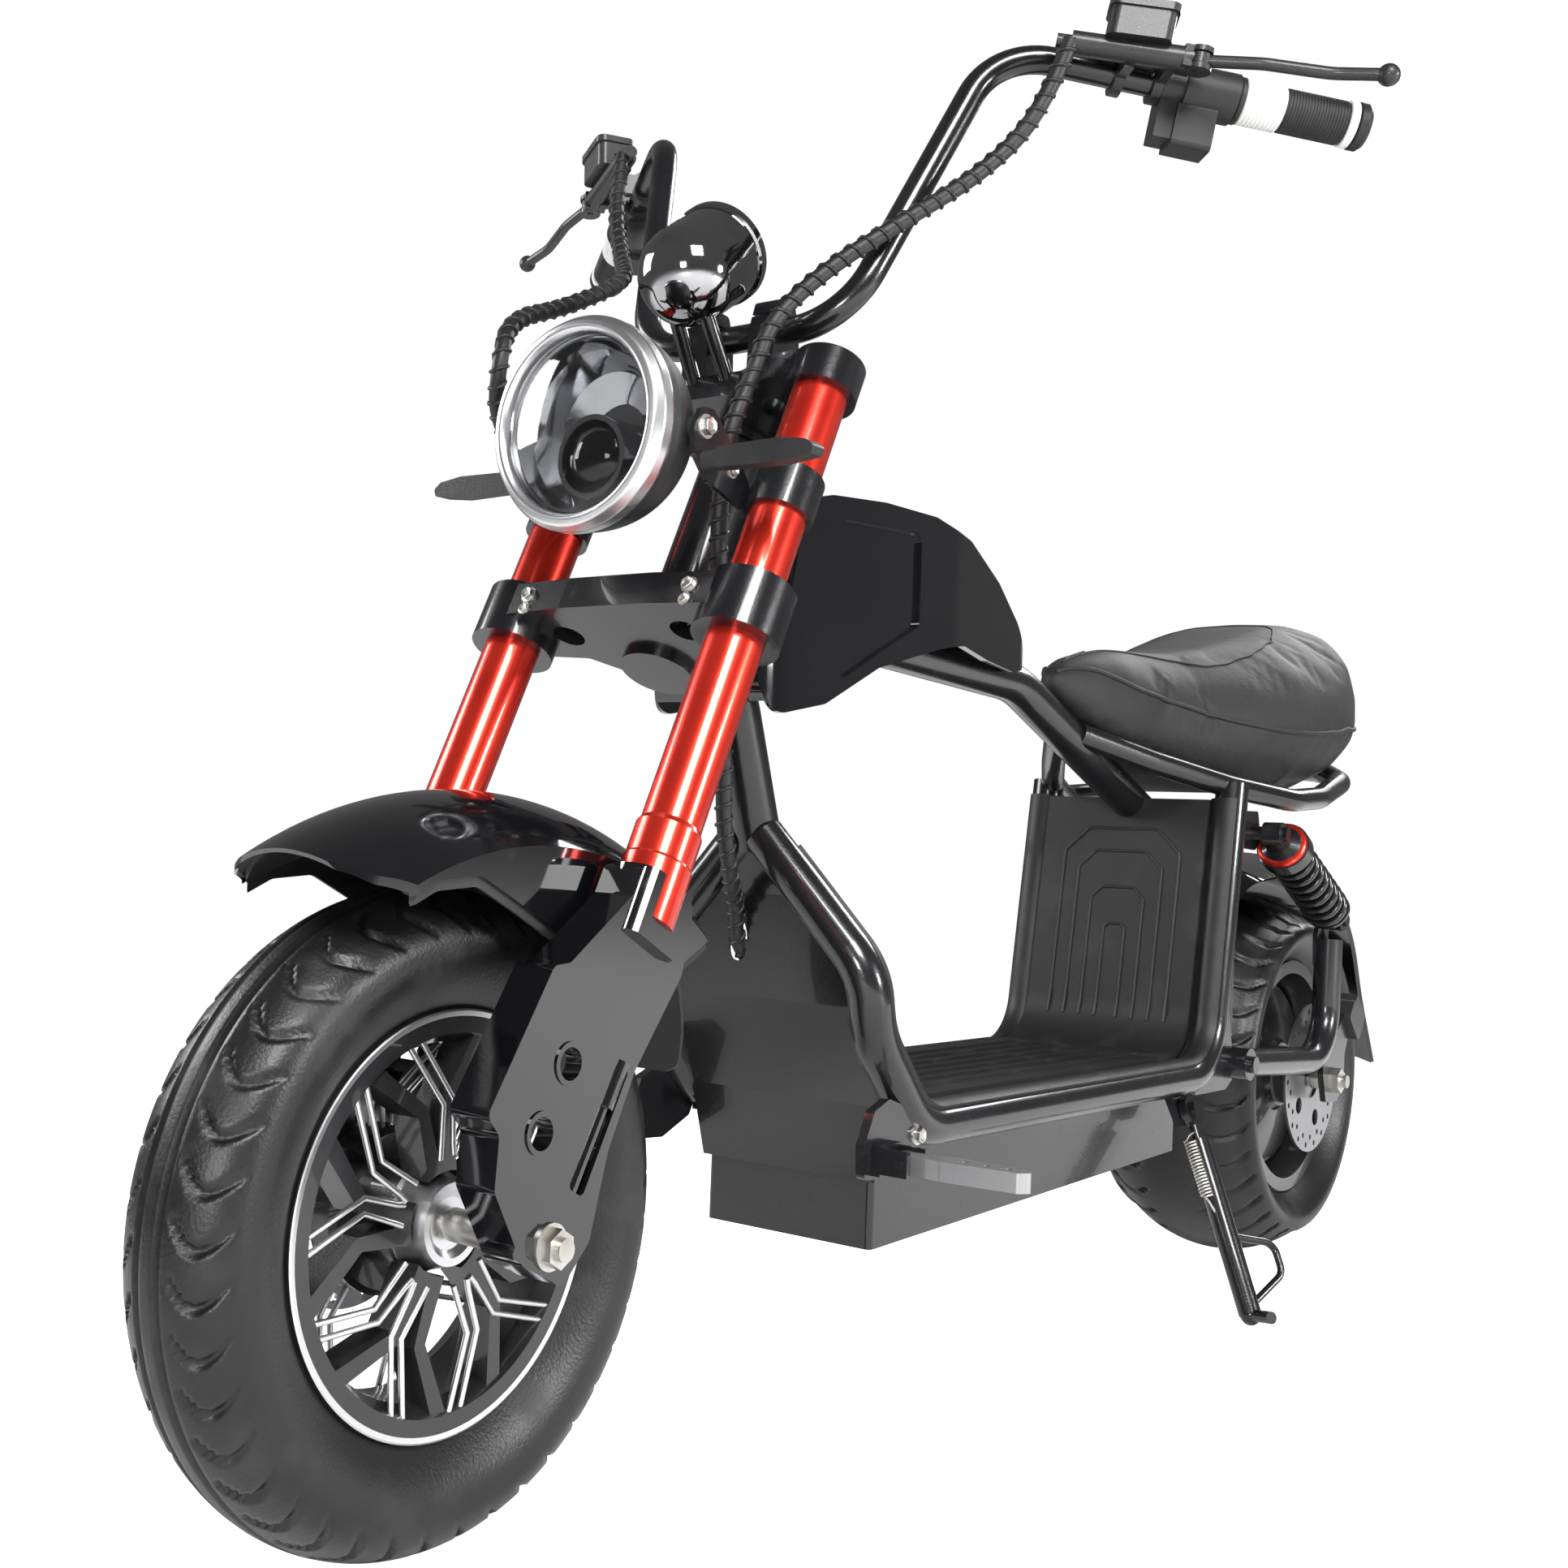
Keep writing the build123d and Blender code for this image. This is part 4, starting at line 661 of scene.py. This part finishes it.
@dataclass
class Seat:
    """Padded saddle with piped seams."""

    tools: Tools
    row: Row
    cap: float = 0.007
    voxel: float = 0.0055
    cloth_frames: int = 20
    seam: tuple = (
        (8, 905, 672), (30, 950, 668), (56, 1010, 652), (66, 1080, 640),
        (96, 1150, 628), (128, 1230, 620), (150, 1320, 622), (150, 1410, 632),
        (130, 1490, 640), (90, 1540, 660), (44, 1562, 676), (0, 1568, 680),
    )
    ridge: tuple = (
        (0, 925, 700), (10, 1000, 720), (70, 1080, 730), (110, 1140, 745),
        (124, 1220, 765), (112, 1300, 785), (70, 1370, 800), (0, 1400, 800),
    )

    def pad(self) -> bpy.types.Object:
        """Swell a copy of the CAD solid as upholstery does.

        Returns:
            The cushion.
        """
        mesh = frame["nodes"]["seat"].data.copy()
        piece = self.tools.link("seat_cushion", mesh)
        self.tools.change(piece, "REMESH", mode="VOXEL", voxel_size=self.voxel)
        self.tools.change(piece, "SMOOTH", iterations=14)
        self.swell(piece)
        self.tools.change(piece, "SUBSURF", levels=1)
        bpy.ops.object.shade_smooth()
        return piece

    def swell(self, piece: bpy.types.Object) -> None:
        """Run the cloth under pressure and cap how far each point goes.

        Args:
            piece: the remeshed cushion.
        """
        before = [v.co.copy() for v in piece.data.vertices]
        bpy.ops.object.modifier_add(type="CLOTH")
        cloth = piece.modifiers[-1]
        cloth.settings.use_pressure = True
        cloth.settings.uniform_pressure_force = 4.0
        cloth.settings.effector_weights.gravity = 0.0
        cloth.settings.tension_stiffness = 30
        for step in range(1, self.cloth_frames + 1):
            bpy.context.scene.frame_set(step)
        bpy.ops.object.modifier_apply(modifier=cloth.name)
        for vertex, start in zip(piece.data.vertices, before):
            move = vertex.co - start
            if move.length > self.cap:
                vertex.co = start + move.normalized() * self.cap
        bpy.context.scene.frame_set(1)

    def piping(self, piece: bpy.types.Object, name: str, route: tuple, radius: float) -> None:
        """Lay a welt on the cushion along a route and its mirror image.

        Args:
            piece: the cushion.
            name: name of the welt.
            route: machine places near the surface.
            radius: radius of the welt in millimetres.
        """
        path = list(route) + [(-x, y, z) for x, y, z in reversed(route)][1:]
        places = []
        for point in refine(path, 6):
            hit, place, normal, _ = piece.closest_point_on_mesh(self.row.at(*point))
            if hit:
                places.append(place + normal * 0.0004)
        welt = self.tools.tube(name, places, radius)
        self.tools.dress(welt, "seat_leather", "frame")

    def build(self) -> None:
        """Make the seat."""
        piece = self.pad()
        self.tools.dress(piece, "seat_leather", "frame", "seat")
        self.piping(piece, "seat_lower_welt", self.seam, 2.6)
        self.piping(piece, "seat_upper_seam", self.ridge, 1.1)


@dataclass
class MatRelief:
    """Raised arches on the upright part of the foot mat."""

    tools: Tools
    row: Row
    arches: tuple = ((66, 300, 505), (48, 300, 480), (30, 300, 440), (12, 300, 400))
    foot: tuple = (1062, 300)  # where the upright part starts, back and up
    slope: float = 0.17

    def build(self) -> None:
        """Lay each arch on the mat's surface."""
        mat = frame["nodes"]["foot_mat"]
        made = []
        for half, low, high in self.arches:
            flat = [
                (-half, low), (-half, high - half * 0.4), (-half * 0.6, high),
                (half * 0.6, high), (half, high - half * 0.4), (half, low),
            ]
            places = []
            for x, z in refine(flat, 8) + [flat[-1]]:
                near = self.row.at(x, self.foot[0] + (z - self.foot[1]) * self.slope, z)
                hit, place, _, _ = mat.closest_point_on_mesh(near)
                if hit:
                    places.append(place)
            made.append(self.tools.tube("arch", places, 1.6))
        self.tools.dress(self.tools.join(made, "mat_arches"), "rubber_black", "frame")


@dataclass
class Hose:
    """Brake hose with its spiral guard."""

    name: str
    route: list
    nodes: tuple
    tools: Tools
    row: Row
    radius: float = 6.4
    pitch: float = 13.0
    guard_radius: float = 1.7
    turn_steps: int = 9

    def spiral(self) -> list:
        """Places on a helix round the hose's smooth line."""
        line = self.tools.sweep("route", self.route, 0, 24, True)
        places = [v.co.copy() for v in line.vertices]
        turn, out = 0.0, (places[1] - places[0]).orthogonal().normalized()
        helix = []
        for a, b in zip(places, places[1:]):
            ahead = (b - a).normalized()
            out = (out - ahead * out.dot(ahead)).normalized()
            turns = (b - a).length / MM / self.pitch
            count = max(1, round(turns * self.turn_steps))
            for n in range(count):
                angle = turn + turns * tau * n / count
                spoke = out * cos(angle) + ahead.cross(out) * sin(angle)
                helix.append(a.lerp(b, n / count) + spoke * (self.radius * MM))
            turn += turns * tau
        return helix

    def build(self) -> None:
        """Make the hose and its guard."""
        hose = self.tools.tube(self.name, self.route, self.radius)
        guard = self.tools.tube(self.name + "_guard", self.spiral(), self.guard_radius, False)
        for piece in (hose, guard):
            self.tools.finisher.give(piece, "rubber_black")
            if len(self.nodes) > 1:
                self.row.fork(0, 52, 440)
                self.row.fork(0, 52, 545)
                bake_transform(piece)
            else:
                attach(piece, "steering")
        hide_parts(*self.nodes)
        log.info("hose %s", self.name)


@dataclass
class Grips:
    """Ribbed grips, each with a pale band and an end cap."""

    tools: Tools
    row: Row
    start: tuple = (308, 564, 1080)
    end: tuple = (389, 633, 1061)

    def build(self) -> None:
        """Make both grips as one piece, and the bands."""
        made = []
        for side, label in SIDES:
            origin = self.row.at(side * self.start[0], *self.start[1:])
            aim = [b - a for a, b in zip(self.start, self.end)]
            axis = self.row.way(side * aim[0], aim[1], aim[2])
            ribs = [(0, 11.4), (0, 17), (2, 18.4), (5, 18.4), (6, 16.2), (38, 16.2)]
            for n in range(20):
                t = 40 + n * 2.4
                ribs += [(t, 16.9), (t + 0.5, 17.3), (t + 1.5, 17.3), (t + 2.0, 16.9)]
            ribs += [(89, 16.4), (97, 16.4), (98, 18.6), (104, 18.6), (107, 16), (108, 11.4), (108, 0)]
            made.append(self.tools.lathe("grip", ribs, origin, axis, 40))
            wide = [(6, 16.3)]
            for n in range(10):
                t = 6.4 + n * 3.2
                wide += [(t, 16.9), (t + 0.6, 17.7), (t + 2.2, 17.7), (t + 2.8, 16.9)]
            wide += [(38.4, 16.3)]
            narrow = [(89.5, 16.3), (90, 18.2), (96, 18.2), (96.5, 16.3)]
            for name, profile in (("grip_band_", wide), ("grip_ring_", narrow)):
                band = self.tools.lathe(name + label, profile, origin, axis, 40)
                self.tools.dress(band, "silver", "steering")
                self.tools.finisher.give(band, "silver", "band_white")
        self.tools.dress(self.tools.join(made, "ribbed_grips"), "rubber_black", "steering", "grips")


@dataclass
class Springs:
    """Coil of the side stand and the red collars of the shocks."""

    tools: Tools
    row: Row
    pivot: tuple = (114, 1016, 212)
    aim: tuple = (197, 975, 26)
    tucked: tuple = (0.03, 1.0, 0.0)
    shock_top: tuple = (120, 1230, 505)
    shock_low: tuple = (124, 1428, 408)
    coil_radius: float = 5.2
    wire: float = 1.2
    turns: int = 18
    turn_steps: int = 12
    margin: float = 0.06  # share of the length that stays straight at each end
    aside: float = 4.0
    hooks: tuple = ((20, 0), (24, 20), (90, 17), (106, 8))  # along the leg and behind it
    collar: tuple = ((24, 14), (24, 24), (25.5, 26.8), (30, 27.4), (38, 27.4), (41, 26), (42, 14))

    def stand_coil(self) -> None:
        """Wind the stand's return spring with a hook at each end."""
        pivot, tucked = Vector(self.pivot), Vector(self.tucked).normalized()
        down = (Vector(self.aim) - pivot).normalized()
        across = down.cross(tucked).normalized()
        start = pivot + across * self.aside
        first, top, low, last = [start + down * a - tucked * b for a, b in self.hooks]
        way = (low - top).normalized()
        out = way.cross(across).normalized()
        side = way.cross(out)
        points = [self.row.at(*first), self.row.at(*top)]
        count = self.turns * self.turn_steps
        for n in range(count + 1):
            angle = tau * n / self.turn_steps
            place = top.lerp(low, self.margin + (1 - 2 * self.margin) * n / count)
            place = place + (out * cos(angle) + side * sin(angle)) * self.coil_radius
            points.append(self.row.at(*place))
        points += [self.row.at(*low), self.row.at(*last)]
        coil = self.tools.tube("stand_return_coil", points, self.wire, False)
        self.tools.dress(coil, "zinc", "side_stand", "stand_spring")

    def collars(self) -> None:
        """Turn the collar at the top of each shock."""
        for side, label in SIDES:
            top = self.row.at(side * self.shock_top[0], *self.shock_top[1:])
            low = self.row.at(side * self.shock_low[0], *self.shock_low[1:])
            along = (low - top).normalized()
            collar = self.tools.lathe("shock_collar_" + label, self.collar, top, along)
            self.tools.dress(collar, "red_anodised", "frame")

    def build(self) -> None:
        """Make the spring and the collars."""
        self.stand_coil()
        self.collars()


@dataclass
class Fasteners:
    """Bolts at the places where the pieces are clamped together."""

    tools: Tools
    row: Row

    def build(self) -> None:
        """Make the bolts."""
        fork = self.row.fork
        ahead = (fork(0, -10, 0) - fork(0, 0, 0)).normalized()
        for side, label in SIDES:
            out = self.row.way(side, 0, 0)
            bolts = (
                ("lower_clamp_bolt_", fork(side * 76, -32, 472), ahead, 9, 5, "steering"),
                ("lower_clamp_screw_", fork(side * 76, -32, 460), ahead, 7, 3, "steering"),
                ("lamp_ear_bolt_", fork(side * 84, -82, 574), out, 12, 6, "steering"),
                ("lamp_ear_screw_", fork(side * 84, -40, 566), out, 8, 4, "steering"),
                ("peg_bolt_", self.row.at(side * 118, 454, 243), out, 11, 6, "frame"),
            )
            for name, place, axis, across, height, body in bolts:
                self.tools.bolt(name + label, place, axis, across, height, body)
            log.info("bolts %s", label)


@dataclass
class Studio:
    """Camera, floor and lamps."""

    eye: tuple = (0.87308, -0.89822, 0.47391)
    yaw: float = 40.96
    pitch: float = 2.50
    roll: float = 2.48
    focal_px: float = 2312.19
    centre_px: tuple = (663.68, 921.58)
    image_px: float = 1932.0
    sensor: float = 36.0
    paper: float = 0.9
    floor_glow: float = 0.95  # what the camera alone sees the floor give off
    world_level: float = 0.13  # the world's light on everything but the camera
    lamp_aim: tuple = (0, 0, 0.5)
    lamps: list = field(default_factory=lambda: [
        ("key", (2.6, -2.2, 2.8), 1.4, 185.0),
        ("fill", (-3.0, -1.6, 2.2), 1.5, 90.0),
        ("back", (0.4, 3.2, 2.6), 1.5, 95.0),
        ("strip", (3.2, 0.6, 0.9), 0.6, 75.0),
        ("low", (1.2, -3.4, 0.9), 0.6, 42.0),
    ])

    def camera(self, row: Matrix) -> None:
        """Set the camera at the photograph's place.

        Args:
            row: matrix from the upright machine frame to the row frame.
        """
        a, e, r = radians(self.yaw), radians(self.pitch), radians(self.roll)
        ahead = Vector((-sin(a) * cos(e), cos(a) * cos(e), sin(e)))
        right = ahead.cross(Vector((0, 0, 1))).normalized()
        up = right.cross(ahead)
        x_axis = cos(r) * right + sin(r) * up
        y_axis = cos(r) * up - sin(r) * right
        turn = Matrix((x_axis, y_axis, -ahead)).transposed().to_4x4()
        data = bpy.data.cameras.new("camera")
        data.sensor_width = self.sensor
        data.lens = self.sensor * self.focal_px / self.image_px
        data.shift_x = (self.image_px / 2 - self.centre_px[0]) / self.image_px
        data.shift_y = (self.centre_px[1] - self.image_px / 2) / self.image_px
        data.clip_end = 60.0
        eye = bpy.data.objects.new("camera", data)
        bpy.context.scene.collection.objects.link(eye)
        eye.matrix_world = row @ Matrix.Translation(Vector(self.eye)) @ turn
        bpy.context.scene.camera = eye

    def floor(self) -> None:
        """Pale floor that carries the object's shadow."""
        bpy.ops.object.select_all(action="DESELECT")
        bpy.ops.mesh.primitive_plane_add(size=30, location=(0, 0, -0.0005))
        ground = bpy.context.object
        ground.name = "floor"
        material = bpy.data.materials.new("floor")
        material.use_nodes = True
        tree = material.node_tree
        surface = tree.nodes["Principled BSDF"]
        surface.inputs["Base Color"].default_value = (self.paper, self.paper, self.paper, 1)
        surface.inputs["Roughness"].default_value = 0.7
        surface.inputs["Emission Color"].default_value = WHITE
        path = tree.nodes.new("ShaderNodeLightPath")
        glow = tree.nodes.new("ShaderNodeMath")
        glow.operation = "MULTIPLY"
        glow.inputs[1].default_value = self.floor_glow
        tree.links.new(path.outputs["Is Camera Ray"], glow.inputs[0])
        tree.links.new(glow.outputs[0], surface.inputs["Emission Strength"])
        ground.data.materials.append(material)

    def light(self) -> None:
        """Soft lamps and a white world."""
        for name, place, size, power in self.lamps:
            data = bpy.data.lights.new(name, "AREA")
            data.size = size
            data.energy = power
            lamp = bpy.data.objects.new(name, data)
            bpy.context.scene.collection.objects.link(lamp)
            lamp.location = place
            aim = Vector(self.lamp_aim) - Vector(place)
            lamp.rotation_euler = aim.to_track_quat("-Z", "Y").to_euler()
        world = bpy.data.worlds.new("studio")
        bpy.context.scene.world = world
        world.use_nodes = True
        tree = world.node_tree
        path = tree.nodes.new("ShaderNodeLightPath")
        level = tree.nodes.new("ShaderNodeMapRange")
        level.inputs["To Min"].default_value = self.world_level
        level.inputs["To Max"].default_value = 1.0
        tree.links.new(path.outputs["Is Camera Ray"], level.inputs["Value"])
        background = tree.nodes["Background"]
        tree.links.new(level.outputs["Result"], background.inputs["Strength"])
        background.inputs["Color"].default_value = WHITE


def hose_routes(row: Row) -> tuple:
    """Routes of the two brake hoses, as in the part's source."""
    rear = [
        row.at(224, 449, 1110), row.at(206, 442, 1056), row.at(176, 410, 1004), row.at(138, 352, 955),
        row.at(98, 306, 912), row.at(72, 270, 866), row.fork(66, -34, 668), row.fork(58, -30, 610),
        row.fork(50, 0, 560), row.fork(46, 30, 520), row.fork(30, 86, 496), row.fork(18, 97, 470),
        row.at(14, 316, 540), row.at(10, 322, 492), row.at(6, 340, 446), row.at(-10, 374, 420),
        row.at(-15, 382, 388), row.at(-15, 404, 372),
    ]
    front = [
        row.at(-224, 449, 1110), row.at(-216, 430, 1050), row.at(-176, 396, 985), row.at(-130, 346, 948),
        row.at(-138, 272, 908), row.at(-136, 206, 884), row.at(-118, 176, 838), row.at(-146, 204, 800),
        row.fork(-146, 30, 590), row.fork(-138, 32, 420), row.fork(-130, 46, 330), row.fork(-112, 62, 250),
        row.fork(-84, 62, 190), row.at(-78, 100, 326), row.at(-74.7, 73, 291.5),
    ]
    return rear, front


def main() -> None:
    """Build the whole scene."""
    place = Row()
    finisher = Finisher()
    finisher.give_all()
    tools = Tools(finisher)
    Tyre("front_road_tyre", "front_wheel", "front_tyre", 0, 98, 60, 35.5, 40, tools, place).build()
    Tyre("rear_road_tyre", "rear_wheel", "rear_tyre", 1434, 190, 120, 74, 34, tools, place).build()
    FrontRim(tools, place).build()
    Seat(tools, place).build()
    MatRelief(tools, place).build()
    rear, front = hose_routes(place)
    Hose("rear_hose", rear, ("rear_brake_hose_upper", "rear_brake_hose_lower"), tools, place).build()
    Hose("front_hose", front, ("front_brake_hose",), tools, place).build()
    Grips(tools, place).build()
    Springs(tools, place).build()
    Fasteners(tools, place).build()
    studio = Studio()
    studio.camera(place.matrix())
    studio.floor()
    studio.light()
    bpy.context.scene.view_settings.view_transform = "Standard"


if __name__ == "__main__":
    main()
